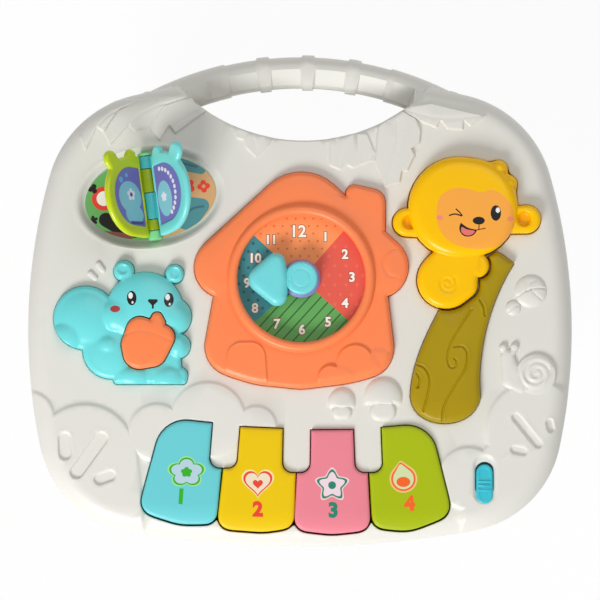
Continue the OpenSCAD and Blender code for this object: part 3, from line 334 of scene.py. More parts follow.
def smooth(loop, step=0.7, corner=36.0):
    """A faceted outline drawn again as arcs through its corners; turns sharper than corner stay."""
    edge = np.roll(loop, -1, 0) - loop
    length = np.linalg.norm(edge, axis=1)
    way = edge / length[:, None]
    back, back_length = np.roll(way, 1, 0), np.roll(length, 1)
    cross = back[:, 0] * way[:, 1] - back[:, 1] * way[:, 0]
    bend = np.degrees(np.abs(np.arctan2(cross, (back * way).sum(1))))[:, None]
    tangent = back * length[:, None] + way * back_length[:, None]
    tangent[length > 2.5 * back_length] = way[length > 2.5 * back_length]
    tangent[back_length > 2.5 * length] = back[back_length > 2.5 * length]
    tangent /= np.linalg.norm(tangent, axis=1)[:, None] + 1e-12
    leaving = np.where(bend > corner, way, tangent)
    arriving = np.roll(np.where(bend > corner, back, tangent), -1, 0)
    out = []
    for i in range(len(loop)):
        a, b = loop[i], loop[(i + 1) % len(loop)]
        count = max(1, int(round(length[i] / step)))
        t = (np.arange(count) / count)[:, None]
        out.append((2 * t**3 - 3 * t**2 + 1) * a + (t**3 - 2 * t**2 + t) * leaving[i] * length[i]
                   + (3 * t**2 - 2 * t**3) * b + (t**3 - t**2) * arriving[i] * length[i])
    return np.vstack(out)


def edge_of(node, z, step, corner=36.0):
    """The outer edge of a CAD node at height z."""
    return smooth(max(section(node, z), key=size), step, corner)


# ---------------------------------------------------------------- sheets and solids
class Sheet:
    """Triangles that fill an outline and leave out its holes, fine near every edge.

    xy are the corners, tris the triangles, d each corner's distance from the nearest edge. Rings are
    depths of rows of corners inside the edges, and marks are lines that the triangles follow.
    """

    ROW_NEAR = 0.96  # a row's corner is left out if an edge is nearer than this share of the depth
    GRID_GAP, MARK_GAP = 0.55, 0.35  # steps that the grid stays from the rows and from the marks

    def __init__(self, outline, holes=(), step=1.3, rings=(), marks=(), hole_rings=None):
        self.loops = [facing(outline)] + [facing(h, False) for h in holes]
        lines = self.loops + list(marks)
        starts = np.cumsum([0] + [len(line) for line in lines]).tolist()
        edges = [(first + i, first + (i + 1) % len(line))
                 for first, line in zip(starts, lines) for i in range(len(line))]
        self.starts = np.array(starts[:len(self.loops) + 1])
        self.on_edge = np.vstack(self.loops)
        self.tree = kdtree.KDTree(len(self.on_edge))
        for i, p in enumerate(self.on_edge):
            self.tree.insert((p[0], p[1], 0), i)
        self.tree.balance()
        hole_rings = rings if hole_rings is None else hole_rings
        rows = [self.row(loop, depth) for number, loop in enumerate(self.loops)
                for depth in (hole_rings if number else rings)]
        grid = self.grid(step, max(rings, default=0) + self.GRID_GAP * step, marks)
        flat = np.vstack(lines + rows + [grid])
        found = delaunay_2d_cdt([Vector(p) for p in flat], edges, [], 0, 1e-6)
        self.xy = np.array([tuple(v) for v in found[0]])
        tris = np.array([t for t in found[2] if len(t) == 3])
        tris = tris[self.covers(self.xy[tris].mean(1))]
        used, index = np.unique(tris, return_inverse=True)
        self.xy, self.tris = self.xy[used], index.reshape(-1, 3)
        self.d = self.clearance(self.xy)

    def row(self, loop, depth):
        p = loop + depth * inward(loop)
        return p[(self.clearance(p) > self.ROW_NEAR * depth) & self.covers(p)]

    def grid(self, step, margin, marks):
        """Staggered corners that keep clear of the edges and marks."""
        low, high = self.on_edge.min(0), self.on_edge.max(0)
        rows = np.arange(low[1], high[1], step * math.sqrt(3) / 2)
        columns = np.arange(low[0], high[0], step)
        grid = np.vstack([np.column_stack([columns + (k % 2) * step / 2, np.full(len(columns), y)])
                          for k, y in enumerate(rows)])
        grid = grid[self.covers(grid)]
        grid = grid[self.clearance(grid) > margin]
        keep = np.ones(len(grid), bool)
        for mark in marks:
            box = np.all((grid > mark.min(0) - step) & (grid < mark.max(0) + step), axis=1)
            keep[box] &= line_distance(grid[box], mark, closed=True) > self.MARK_GAP * step
        return grid[keep]

    def covers(self, p):
        odd = np.zeros(len(p), bool)
        for loop in self.loops:
            box = np.all((p > loop.min(0)) & (p < loop.max(0)), axis=1)
            odd[box] ^= inside(p[box], loop)
        return odd

    def clearance(self, p):
        """Distance from each point to the nearest edge."""
        found = np.array([self.tree.find((q[0], q[1], 0))[1] for q in p], int)
        which = np.searchsorted(self.starts, found, side="right") - 1
        first, count = self.starts[which], self.starts[which + 1] - self.starts[which]
        here = self.on_edge[found]
        best = np.full(len(p), 1e9)
        for side in (-1, 1):
            e = self.on_edge[first + (found - first + side) % count] - here
            w = p - here
            t = np.clip((w * e).sum(1) / np.maximum((e * e).sum(1), 1e-12), 0, 1)
            best = np.minimum(best, np.linalg.norm(w - t[:, None] * e, axis=1))
        return best

    def within(self, loop):
        """Which triangles lie inside an outline."""
        return inside(self.xy[self.tris].mean(1), loop)

    def painted(self, groups):
        """Each triangle's finish, from groups of outlines with the number of a finish."""
        which = np.zeros(len(self.tris), np.int32)
        for loops, index in groups:
            for loop in loops:
                which[self.within(loop)] = index
        return which


def outlines(groups):
    return [loop for loops, _ in groups for loop in loops]


def boundary(tris):
    """Edges of a sheet that belong to one triangle only, as that triangle runs them."""
    edges = np.vstack([tris[:, [0, 1]], tris[:, [1, 2]], tris[:, [2, 0]]]).astype(np.int64)
    count = int(edges.max()) + 1
    code, reverse = edges @ (count, 1), edges @ (1, count)
    return edges[~np.isin(code, reverse)]


def make(name, body, co, faces, finishes, slot, which=None, sharp=35.0, replaces=()):
    """A mesh object from corners in mm, that rides on a body."""
    mesh = bpy.data.meshes.new(name)
    mesh.from_pydata((np.asarray(co) * MM).tolist(), [], [list(map(int, f)) for f in faces])
    for finish in finishes:
        mesh.materials.append(materials[finish])
    if which is not None:
        mesh.polygons.foreach_set("material_index", np.asarray(which, np.int32))
    mesh.polygons.foreach_set("use_smooth", [True] * len(mesh.polygons))
    mesh.set_sharp_from_angle(angle=math.radians(sharp))
    mesh.update()
    piece = bpy.data.objects.new(name, mesh)
    bpy.context.scene.collection.objects.link(piece)
    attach(piece, body)
    if replaces:
        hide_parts(*replaces)


def between(name, body, sheet, top, bottom, finishes, slot, paint=None, **said):
    """A closed solid between two surfaces over one sheet; each surface is heights or whole corners."""
    def corners(surface):
        if np.ndim(surface) == 2:
            return surface
        return np.column_stack([sheet.xy, np.broadcast_to(surface, len(sheet.xy))])

    count = len(sheet.xy)
    edge = boundary(sheet.tris)
    walls = np.column_stack([edge[:, 1], edge[:, 0], edge[:, 0] + count, edge[:, 1] + count])
    faces = [*sheet.tris.tolist(), *(sheet.tris[:, ::-1] + count).tolist(), *walls.tolist()]
    which = np.zeros(len(faces), np.int32)
    if paint is not None:
        which[:len(sheet.tris)] = paint
    make(name, body, np.vstack([corners(top), corners(bottom)]), faces, finishes, slot, which, **said)


def tube(rings):
    """Corners and faces of a solid with rings of corners, anticlockwise seen from the last one."""
    count = len(rings[0])
    last = (len(rings) - 1) * count
    faces = [[k + i, k + (i + 1) % count, k + count + (i + 1) % count, k + count + i]
             for k in range(0, last, count) for i in range(count)]
    return np.vstack(rings), faces + [list(range(count))[::-1], list(range(last, last + count))]


def turned(centre, profile, count=72):
    """A solid turned from (radius, z) corners, bottom first."""
    return tube([np.column_stack([circle(centre, r, count), np.full(count, z)]) for r, z in profile])


def prism(loop, start, end, edge=0.5):
    """A solid along y from an (x, z) outline, with rounded ends."""
    loop = facing(np.array(loop, float))
    a = np.radians(np.linspace(0, 90, 5))
    rings = []
    for y, way, angles in ((end, -1, a[::-1]), (start, 1, a)):
        for t in angles:
            ring = loop + inward(loop) * edge * (1 - math.cos(t))
            place = y + way * edge * (1 - math.sin(t))
            rings.append(np.column_stack([ring[:, 0], np.full(len(loop), place), ring[:, 1]]))
    return tube(rings)


def gathered(name, body, solids, finish, slot, **said):
    """Several closed solids as one piece."""
    faces, first = [], 0
    for corners, own in solids:
        faces += [[first + i for i in f] for f in own]
        first += len(corners)
    make(name, body, np.vstack([co for co, _ in solids]), faces, [finish], slot, **said)


FONT_SIZE = 1.36  # to the height of a figure


def lettering(name, body, marks, z, finish, slot, thick, fatten):
    """Flat numbers from Blender's own font: (text, x, y, height, turn) for each."""
    solids = []
    for said, x, y, height, angle in marks:
        curve = bpy.data.curves.new(name, "FONT")
        curve.body = said
        curve.align_x, curve.align_y = "CENTER", "CENTER"
        curve.size = height * FONT_SIZE
        curve.offset = fatten
        curve.extrude = thick / 2
        curve.resolution_u = 3
        text = bpy.data.objects.new(name, curve)
        mesh = bpy.data.meshes.new_from_object(text)
        co = np.array([tuple(v.co) for v in mesh.vertices])
        middle = (co[:, :2].min(0) + co[:, :2].max(0)) / 2
        flat = (co[:, :2] - middle) @ rotation(angle).T + np.array([x, y])
        solids.append((np.column_stack([flat, co[:, 2] + z]), [list(f.vertices) for f in mesh.polygons]))
        bpy.data.objects.remove(text)
    gathered(name, body, solids, finish, slot, sharp=30)


# ---------------------------------------------------------------- height fields
def eased(t):
    t = np.clip(t, 0, 1)
    return t * t * (3 - 2 * t)


def edge_drop(d, radius):
    """How far a surface is below its top at distance d inside an edge rounded to a radius."""
    t = np.clip(1 - d / radius, 0, 1)
    return radius * (1 - np.sqrt(1 - t * t))


def bead(d, high, wide):
    """A narrow round ridge along a line, from the distance to it."""
    return high * np.exp(-(d / wide) ** 2)


def puff(d, rise, radius):
    """A raised shape with a rounded edge, from its signed distance."""
    return rise * np.sqrt(np.clip(1 - np.clip(1 + d / radius, 0, 1) ** 2, 0, 1)) * (d < 0)


def step_up(d, rise, soft):
    """A raised shape with a sloping edge, soft wide."""
    return rise * eased(0.5 - d / soft)


def dome(p, centre, half, rise, power=0.5):
    """A round or oval dome, from its radius or two half widths."""
    t = 1 - (((p - np.array(centre[:2])) / np.array(half)) ** 2).sum(1)
    return np.where(t > 0, rise * np.clip(t, 0, 1) ** power, NOWHERE)


def merge(a, b, k):
    """The higher of two surfaces, with a fillet about k high between them."""
    h = np.clip(0.5 + 0.5 * (a - b) / k, 0, 1)
    return b + (a - b) * h + k * h * (1 - h)


def over(surfaces, k):
    """The highest of several surfaces, with soft creases between them."""
    height = surfaces[0]
    for surface in surfaces[1:]:
        height = merge(height, surface, k)
    return height


# ---------------------------------------------------------------- materials
def linear(hexcode):
    channel = [int(hexcode[i:i + 2], 16) / 255 for i in (1, 3, 5)]
    return [c / 12.92 if c <= 0.04045 else ((c + 0.055) / 1.055) ** 2.4 for c in channel] + [1.0]


def fill(tree, node, sockets):
    """Sets a node's sockets to values, or links them to other nodes' outputs."""
    for name, value in sockets.items():
        if isinstance(value, bpy.types.NodeSocket):
            tree.links.new(value, node.inputs[name])
        else:
            node.inputs[name].default_value = value


def add(tree, kind, sockets):
    node = tree.nodes.new("ShaderNode" + kind)
    fill(tree, node, sockets)
    return node


def mixed(tree, factor, a, b):
    """The output of a node that mixes two colours."""
    node = tree.nodes.new("ShaderNodeMix")
    node.data_type = "RGBA"
    fill(tree, node, {"Factor": factor, "A": a, "B": b})
    return node.outputs["Result"]


TONE_SCALE, SHEEN_SCALE = 14.0, 60.0  # of the noise, in waves to a metre
SHEEN_RANGE = 0.05  # change of roughness either way
BUMP_HIGH = 0.0004


def plastic(name, colour, rough, specular=0.5, grain=900.0, depth=0.03, tint=0.035):
    """Moulded plastic: a faint fine grain, a slow change of tone and an uneven sheen."""
    m = bpy.data.materials.new(name)
    m.use_nodes = True
    tree = m.node_tree
    place = add(tree, "TexCoord", {}).outputs["Object"]

    def noise(scale, detail):
        return add(tree, "TexNoise", {"Scale": scale, "Detail": detail, "Vector": place}).outputs["Fac"]

    dark, pale = ([min(1, c * share) for c in linear(colour)[:3]] + [1] for share in (1 - tint, 1 + tint))
    sheen = add(tree, "MapRange", {"Value": noise(SHEEN_SCALE, 4.0), "To Min": rough - SHEEN_RANGE,
                                   "To Max": rough + SHEEN_RANGE})
    bump = add(tree, "Bump", {"Height": noise(grain, 2.0), "Strength": depth, "Distance": BUMP_HIGH})
    fill(tree, tree.nodes["Principled BSDF"], {
        "Base Color": mixed(tree, noise(TONE_SCALE, 3.0), dark, pale), "Roughness": sheen.outputs["Result"],
        "Normal": bump.outputs["Normal"], "Specular IOR Level": specular})
    return m


def metal(name, colour, rough):
    """Drawn or turned metal: fine scratches that run round or along it and a slow change of sheen."""
    m = plastic(name, colour, rough, grain=2500.0, depth=0.1, tint=0.06)
    tree = m.node_tree
    place = tree.nodes["Texture Coordinate"].outputs["Object"]
    grain = tree.nodes["Bump"].outputs["Normal"]
    stretch = add(tree, "Mapping", {"Vector": place, "Scale": (40.0, 1.0, 1.0)})
    scratch = add(tree, "TexNoise", {"Vector": stretch.outputs["Vector"], "Scale": 90.0})
    bump = add(tree, "Bump", {"Height": scratch.outputs["Fac"], "Normal": grain, "Strength": 0.15,
                              "Distance": 0.0001})
    fill(tree, tree.nodes["Principled BSDF"], {"Metallic": 1.0, "Normal": bump.outputs["Normal"]})
    return m


def circuit(name, colour, copper, across):
    """Lacquered board: copper tracks, across apart, that show faintly through the colour."""
    m = plastic(name, colour, 0.35, grain=1800.0, depth=0.05)
    tree = m.node_tree
    place = tree.nodes["Texture Coordinate"].outputs["Object"]
    cells = add(tree, "TexVoronoi", {"Vector": place, "Scale": 1000.0 / across})
    cells.distance = "MANHATTAN"
    cells.feature = "DISTANCE_TO_EDGE"
    edge = add(tree, "Math", {0: cells.outputs["Distance"], 1: 0.12})
    edge.operation = "LESS_THAN"
    lacquer = tree.nodes["Mix"].outputs["Result"]
    tracks = mixed(tree, edge.outputs[0], lacquer, linear(copper))
    fill(tree, tree.nodes["Principled BSDF"], {"Base Color": tracks})
    return m


# Colour, roughness, specular level, grain, depth of the grain, change of tone
LOOKS = {
    "white_plastic": ("#DFDDD5", 0.42, 0.5, 1400, 0.06, 0.012),
    "base_plastic": ("#DBDAD2", 0.5, 0.5, 900, 0.12, 0.015),
    "leg_plastic": ("#DFDDD5", 0.38, 0.5, 1200, 0.05, 0.012),
    "foot_rubber": ("#7D8287", 0.7, 0.5, 500, 0.2),
    "dome_rubber": ("#C9C6BE", 0.6, 0.5, 600, 0.12),
    "cell_wrap": ("#3A4048", 0.3, 0.5, 700, 0.02),
    "switch_body_plastic": ("#26282B", 0.45, 0.5, 1100, 0.08),
    "speaker_cone": ("#34363A", 0.75, 0.5, 450, 0.25, 0.08),
    "orange_plastic": ("#FF8751", 0.36, 0.35),
    "acorn_plastic": ("#FF864F", 0.33, 0.35),
    "cyan_plastic": ("#72D8DC", 0.27, 0.4),
    "teal_plastic": ("#6EDADC", 0.3, 0.4),
    "yellow_plastic": ("#FFC300", 0.25, 0.22),
    # Darker, more orange yellow for the monkey's ear hollows: painted shade in the recesses.
    "ear_hollow_painted_shade_plastic": ("#F5A800", 0.3, 0.22),
    "olive_plastic": ("#A98F08", 0.38, 0.25),
    "key_cyan_plastic": ("#69CCD2", 0.4, 0.35),
    "key_yellow_plastic": ("#E9C300", 0.4, 0.25),
    "key_pink_plastic": ("#E98492", 0.4, 0.3),
    "key_green_plastic": ("#A8B908", 0.4, 0.25),
    "violet_plastic": ("#8F8CCB", 0.3),
    "lime_plastic": ("#C2D600", 0.25),
    # Darker copy of the lime page colour, for the knuckles: painted shade between the pages.
    "lime_painted_shade_plastic": ("#8FA608", 0.28),
    "page_cyan_plastic": ("#78DCDA", 0.25),
    # Darker copy of the cyan page colour, for the knuckles: painted shade between the pages.
    "cyan_painted_shade_plastic": ("#42B2B4", 0.28),
    "green_plastic": ("#7ED890", 0.3),
    "switch_plastic": ("#34BFD0", 0.3),
    "switch_shadow_plastic": ("#15808C", 0.4),
    "dial_orange_print": ("#FF9A5C", 0.3, 0.5, 900, 0.03, 0.05),
    "dial_red_print": ("#E55C4B", 0.3, 0.5, 900, 0.03, 0.05),
    "dial_green_print": ("#62A858", 0.3, 0.5, 900, 0.03, 0.05),
    "dial_teal_print": ("#3E8E96", 0.3, 0.5, 900, 0.03, 0.05),
}

# Prints by their roughness
PRINTS = {
    0.25: {"ink": "#1B1714"},
    0.3: {"dial_dot": "#2A6468", "dial_fleck": "#E0673A", "dial_star": "#EA6E5E", "dial_stripe": "#35672F",
          "white": "#F2F2F2", "red": "#B23A3E", "label_purple": "#7773BC", "label_blue": "#8ACAD6",
          "label_deep": "#4F4C92", "label_dot": "#ECE8F0", "label_sky": "#5DB9DA"},
    0.35: {"peach": "#FDAA3C", "blush": "#F58C74", "tongue": "#E8736F", "green": "#2FAE1E",
           "scarlet": "#E8402C", "pine": "#1F8267", "tangerine": "#F2631A", "green_halo": "#9FE08A",
           "cream_halo": "#F4DFA0", "pink_halo": "#EFCFD2", "sand_halo": "#EFC27A", "pale_blue": "#B5D0DC",
           "pale_cream": "#EBDCBE", "pale_pink": "#EDD5DD", "pale_green": "#CFDDA8",
           "card_green": "#67B05C", "card_tan": "#D6A873", "card_brown": "#8A4B45",
           "card_teal": "#4F8F93", "card_slate": "#3E6F78"},
    0.4: {"number": "#FFF8E8", "number_rim": "#8A4A44"},
}

materials = {name: plastic(name, *look) for name, look in LOOKS.items()}
for rough, colours in PRINTS.items():
    for name, colour in colours.items():
        materials[f"{name}_print"] = plastic(f"{name}_print", colour, rough)
materials["steel"] = metal("steel", "#B9BCC0", 0.32)
materials["plated_spring"] = metal("plated_spring", "#C9CBC4", 0.25)
materials["board_lacquer"] = circuit("board_lacquer", "#2C7A4B", "#5C9A5A", 2.6)


def prints(names):
    return [f"{name}_print" for name in names.split()]


# ---------------------------------------------------------------- panel
CLOCK = np.array([0.8, 12.6])
SHOULDER = 12.0
GRIP = (0.0, -51.85)
GRIP_R, GRIP_HALF, GRIP_HIGH = 190.1, 9.15, 12.0
GRIP_RINGS = [(-9.6, 1.05, 1.2), (-1.45, 1.05, 1.2), (6.5, 1.05, 1.2), (-24.05, 7.95, 0.8), (22.6, 9.4, 0.8)]
GAP, GAP_R = (2.5, 199.2), 104.0
EDGE_R = {"front": 577.0, "side": 338.0, "back": 443.3, "front_corner": 63.8, "back_corner": 67.6}
FRONT_Y, BACK_Y, SIDE_X, SIDE_Y = -146, 134.4, 162, -16.1

BUSHES = [(-161.3, -70, 16), (-127.5, -91.9, 30.2), (-84.8, -78.3, 16.9), (-54.6, -71.2, 22.5),
          (-26.1, -75.3, 12.5)]
HILLS = [(99.6, -105.6, 18.4), (139.4, -77.7, 29.6)]
GROUND = [[(-175, -70), (-144, -80), (-97, -80), (-88.5, -175), (-175, -175)],
          [(99, -100), (116, -80), (175, -62), (175, -175), (91.5, -175)]]
RELIEF = 1.6
POCKETS = [((-139.4, -82), (-138.9, -91.2), 3.9), ((-132, -101.9), (-117.7, -82.2), 4.2),
           ((-118.5, -106.3), (-112.3, -104.1), 3.6), ((127.9, -69.6), (140.7, -85.4), 2.8),
           ((127, -88.8), (131.8, -89.8), 2.8), ((147.7, -72.6), (148.5, -76.4), 2.4)]

# Leaves: height, midrib and outline
LEAVES = [
    (2.0, [(-50, 117), (-68, 108), (-82, 97)],
     [(-48, 118), (-74, 99), (-77.7, 103.8), (-83, 94.9), (-88.5, 100.4), (-90, 108), (-80, 116),
      (-62, 122)]),
    (2.7, [(-66, 121), (-92, 112), (-111, 94)],
     [(-62, 122), (-80, 116.5), (-88.9, 103.8), (-98, 100), (-101.5, 104.5), (-112.7, 91.9), (-116.5, 100),
      (-108, 113), (-92, 120)]),
    (2.1, [(-96, 119), (-116, 108), (-127, 91)],
     [(-90, 119), (-108, 113.5), (-117, 100.5), (-120.5, 103), (-127.5, 88.9), (-131, 97), (-124, 111),
      (-110, 120)]),
    (1.9, [(-30, 103), (-27, 94), (-26, 86)],
     [(-41, 104), (-37.5, 96.5), (-33.6, 95.4), (-32.4, 91), (-26.1, 84.8), (-18.4, 91.9), (-16.6, 97),
      (-22, 104)]),
    (1.9, [(27, 99), (24, 88), (23, 79)],
     [(17.2, 99), (17.8, 80.1), (23.7, 77.7), (28.2, 80.6), (31.4, 78.6), (42.7, 83), (44.5, 88), (40, 99)]),
    (2.9, [(57, 112), (57.5, 92), (51, 68.5)],
     [(46.5, 103), (44.5, 83), (50.4, 67), (59.3, 70), (60.4, 76.4), (64, 77), (68.2, 86), (66.2, 89.8),
      (71.2, 93.7), (71.8, 100.8), (68.8, 107.9), (58, 114)]),
    (2.3, [(60, 113.5), (84, 108), (109, 109.6)],
     [(58, 114), (71.2, 106.7), (81.2, 102.6), (83.6, 107), (87.8, 102), (96.7, 101.4), (97.3, 107),
      (101.4, 103.4), (110.3, 109.5), (94.9, 112.9), (78, 117)])]
FRUITS = [(136.7, 5.1, 9.8, 2.6), (126.4, -4.7, 4.7, 1.8)]
FRUIT_VEINS = [(0.7, [(128.5, 2.0), (134, 5.4), (140, 7.0), (145, 6.8)]),
               (0.5, [(134, 5.4), (136, 9.4), (139.6, 12.0)]), (0.5, [(137, 6.3), (140, 3.0), (143, 0.6)]),
               (0.5, [(123.5, -7.0), (126.5, -4.4), (129.4, -3.2)])]
SEEDS, SEED_R = [((-119.5, 21.3), (-116.9, 17.7)), ((-124.3, 15.8), (-121.4, 12.9))], 1.8
MUSHROOMS = [(24.7, -60.5, 8.3, 3.4), (49.2, -57.5, 11.6, 4.0)]
SNAIL, SNAIL_R = (139.7, -44.1), 12.5
SNAIL_NECK = [(122.9, -33.6, 4.3), (123.9, -48, 4.4), (131, -52.6, 3.4)]
SNAIL_EYES = [(120.4, -28.3, 2.7), (127.2, -27.9, 2.7)]
SNAIL_STALKS, STALK_R = [((120.6, -29), (121.6, -33)), ((126.9, -28.6), (125.2, -33))], 2.0
BOOK, BOOK_TILT = np.array([-88.9, 61.1]), 7.8
DISH, DISH_DEEP = (43.9, 29.6), 3.6
SWITCH = np.array([109.1, -106.1])
RECESS, RECESS_R = (SWITCH - (0, 7.8), SWITCH + (0, 7.8)), 6.2
MONKEY_TUFTS = [(118, 77.7), (123.6, 68.8)]
GAP_POINT = (2.5, 112)
SEAT_POINTS = {"keys": (-22, -110), "house": (0.8, 58), "squirrel": (-95, 8), "trunk": (90, -50),
               "monkey": (95, 60)}


def meeting(c1, d1, c2, d2, side):
    """Where a circle round c1 meets a circle round c2."""
    c1, c2 = np.array(c1, float), np.array(c2, float)
    gap = np.linalg.norm(c2 - c1)
    along = (d1 * d1 - d2 * d2 + gap * gap) / (2 * gap)
    u = (c2 - c1) / gap
    return c1 + u * along + np.array([-u[1], u[0]]) * side * math.sqrt(d1 * d1 - along * along)


def body_loop(step=1.2):
    """The edge of the body without its handle."""
    r = EDGE_R
    front, back, side = (0, r["front"] + FRONT_Y), (0, BACK_Y - r["back"]), (SIDE_X - r["side"], SIDE_Y)
    low = meeting(front, r["front"] - r["front_corner"], side, r["side"] - r["front_corner"], 1)
    high = meeting(back, r["back"] - r["back_corner"], side, r["side"] - r["back_corner"], -1)
    turns = [heading(front, low), heading(side, low), heading(side, high), heading(back, high)]
    arcs = [(low, r["front_corner"], turns[0], turns[1]), (side, r["side"], turns[1], turns[2]),
            (high, r["back_corner"], turns[2], turns[3])]
    mirrored = [((-c[0], c[1]), q, 180 - b, 180 - a) for c, q, a, b in arcs[::-1]]
    whole = [(front, r["front"], -180 - turns[0], turns[0])] + arcs
    whole += [(back, r["back"], turns[3], 180 - turns[3])] + mirrored
    out = []
    for centre, radius, a, b in whole:
        count = max(2, int(math.radians(b - a) * radius / step))
        out.append(polar(centre, radius, a + (b - a) * np.arange(count) / count))
    return np.vstack(out)


def stalk_loop(mushroom):
    x, y, r, _ = mushroom
    return dense(band([(x - 2, y - 0.75 * r, r / 2), (x + 2, y - 0.75 * r, r / 2)], step=15), 1.3)


body_edge = body_loop()
leaf_loops = [dense(leaf) for _, _, leaf in LEAVES]
leaf_ribs = [through(rib) for _, rib, _ in LEAVES]
fruit_veins = [through(vein) for _, vein in FRUIT_VEINS]
ground_loops = [dense(g, 1.0) for g in GROUND]
neck_loop = dense(band(SNAIL_NECK, step=15), 1.3)
spiral_a = np.linspace(0, 360 * 2.1, 90)
snail_spiral = polar(SNAIL, (SNAIL_R - 2.6) * (1 - 0.85 * spiral_a / spiral_a[-1]), 30 + spiral_a)


def grip_height(p):
    """Height of the handle's upper half above the parting line."""
    across = np.abs(distance(p, GRIP) - GRIP_R)
    angle = -np.degrees(np.arctan2(p[:, 0] - GRIP[0], p[:, 1] - GRIP[1]))
    swell = np.zeros(len(p))
    for place, half, rise in GRIP_RINGS:
        swell = np.maximum(swell, rise * eased((half + 0.14 - np.abs(angle - place)) / 0.28))
    radius = GRIP_HALF + swell
    round_part = np.sqrt(np.clip(radius**2 - across**2, 0, None))
    return np.where(across < radius + 1.0, GRIP_HIGH - GRIP_HALF + round_part, NOWHERE)


def panel_base(p):
    """Height of the bare panel above the parting line."""
    d = -signed(p, body_edge, reach=40)
    flat = TOP_Z - PART_Z - edge_drop(np.maximum(d, 0), SHOULDER)
    gap = distance(p, GAP) - GAP_R
    flat -= edge_drop(np.maximum(gap, 0), 2.6)
    flat = np.where((d < -0.8) | (gap < -0.8), NOWHERE, flat)
    return np.maximum(merge(flat, grip_height(p), 1.2), GRIP_HIGH - GRIP_HALF)


def ground_distance(p):
    parts = [distance(p, d) - d[2] for d in BUSHES + HILLS]
    return np.minimum(np.min(parts, axis=0), nearest(p, ground_loops, 12))


def leaf_height(p):
    """Leaves overlap like real ones: each has its own level and falls away from its midrib."""
    height = np.zeros(len(p))
    for loop, rib_line, (level, _, _) in zip(leaf_loops, leaf_ribs, LEAVES):
        d = signed(p, loop, 6)
        near = d < 1.0
        rib = line_distance(p[near], rib_line)
        here = level - 0.085 * np.clip(rib, 0, 12) - bead(rib, 0.5, 0.6)
        height[near] = np.maximum(height[near], step_up(d[near], here, 0.9))
    return height


def oval_radius(p):
    """One at the rim of the book's dish, less inside it."""
    return np.linalg.norm((p - BOOK) @ rotation(BOOK_TILT) / DISH, axis=1)


def snail_height(p):
    r = distance(p, SNAIL)
    neck = puff(signed(p, neck_loop, 6), 2.4, 3.2)
    shell = step_up(r - SNAIL_R + 0.4, 1.9, 1.2) + 0.25 * np.clip(1 - (r / SNAIL_R) ** 2, 0, 1)
    near = r < SNAIL_R + 1
    shell[near] += bead(line_distance(p[near], snail_spiral), 1.0, 1.05)
    height = np.maximum(neck, shell)
    for eye, stalk in zip(SNAIL_EYES, SNAIL_STALKS):
        height = np.maximum(height, dome(p, eye, eye[2], 2.6))
        height = np.maximum(height, puff(line_distance(p, stalk) - STALK_R, 2.1, 2.0))
    return height


def mushroom_height(p, mushroom):
    x, y, r, rise = mushroom
    stalk = puff(signed(p, stalk_loop(mushroom), 5), 2.0, 2.6)
    cap = dome(p, (x, y), r, rise, 0.6)
    below = (p[:, 1] - (y - 0.35 * r)) / 0.8
    return np.maximum(stalk, np.where(cap > 0, cap * eased(0.5 + below / 2), 0))


def panel_height(p):
    """Height above the floor of every point of the cover's top."""
    base = panel_base(p)
    raised = step_up(ground_distance(p), RELIEF, 2.8)
    for a, b, r in POCKETS:
        d = line_distance(p, (a, b)) - r
        raised = raised - 1.5 * eased(0.5 - (d + 0.3) / 1.3) + bead(d - 0.7, 0.18, 0.7)
    raised = np.maximum(raised, leaf_height(p))
    raised -= bead(nearest(p, leaf_loops, 5) - 0.75, 0.55, 0.45)
    raised = np.maximum(raised, snail_height(p))
    for mushroom in MUSHROOMS:
        raised = np.maximum(raised, mushroom_height(p, mushroom))
    for x, y, r, rise in FRUITS:
        raised = np.maximum(raised, dome(p, (x, y), r, rise, 0.6))
    for seed in SEEDS:
        raised = np.maximum(raised, puff(line_distance(p, seed) - SEED_R, 1.5, 1.8))
    for vein, (deep, _) in zip(fruit_veins, FRUIT_VEINS):
        raised -= bead(line_distance(p, vein), deep, 0.5)
    oval = oval_radius(p)
    raised += bead(oval - 1.03, 0.35, 0.02) - DISH_DEEP * eased((1.0 - oval) / 0.115)
    raised -= 1.6 * eased(0.5 - (line_distance(p, RECESS) - RECESS_R) / 2.2)
    return PART_Z + base + eased((base - 13.0) / 4.0) * raised


def panel_marks():
    marks = [circle(d, d[2] + by, int(7 * d[2] / 1.2))
             for d in BUSHES + HILLS for by in (-1.3, -0.5, 0.3, 1.3)]
    marks += beside(ground_loops, (-1.2, 0.3, 1.2))
    marks += beside(leaf_loops, (-0.5, 0.1, 0.75, 1.5))
    marks += ribbons(leaf_ribs, (0.35, 1.1)) + ribbons(fruit_veins, (0.3, 0.9))
    marks += beside([capsule(*pocket) for pocket in POCKETS], (-1.0, -0.45, 0.1, 0.7))
    marks += beside([capsule(*stalk, STALK_R, 7) for stalk in SNAIL_STALKS], (-0.5, 0.1))
    marks += beside([capsule(*seed, SEED_R, 7) for seed in SEEDS], (-1.0, -0.4, 0.1))
    marks += beside([stalk_loop(mushroom) for mushroom in MUSHROOMS], (-1.2, -0.4, 0.1))
    marks += [circle(SNAIL, SNAIL_R + by, 60) for by in (-1.1, -0.3, 0.3)]
    marks += ribbons([snail_spiral], (0.6, 1.5)) + beside([neck_loop], (-1.4, -0.6, 0.1))
    for x, y, r, *_ in FRUITS + MUSHROOMS + SNAIL_EYES:
        marks += [circle((x, y), r * share, max(12, int(6 * r * share))) for share in (1.0, 0.93, 0.78, 0.5)]
    for share in (1.06, 1.03, 1.0, 0.97, 0.9425, 0.915, 0.885):
        marks.append(ellipse(BOOK, (DISH[0] * share, DISH[1] * share), BOOK_TILT, 150))
    return marks + beside([capsule(*RECESS, RECESS_R)], (-1.1, 0.0, 1.1))


def front_softened(loop):
    """The outline of a key, or of all their wells, with rounder corners at the player's side."""
    return relaxed(loop, eased((-104 - loop[:, 1]) / 8), 30)


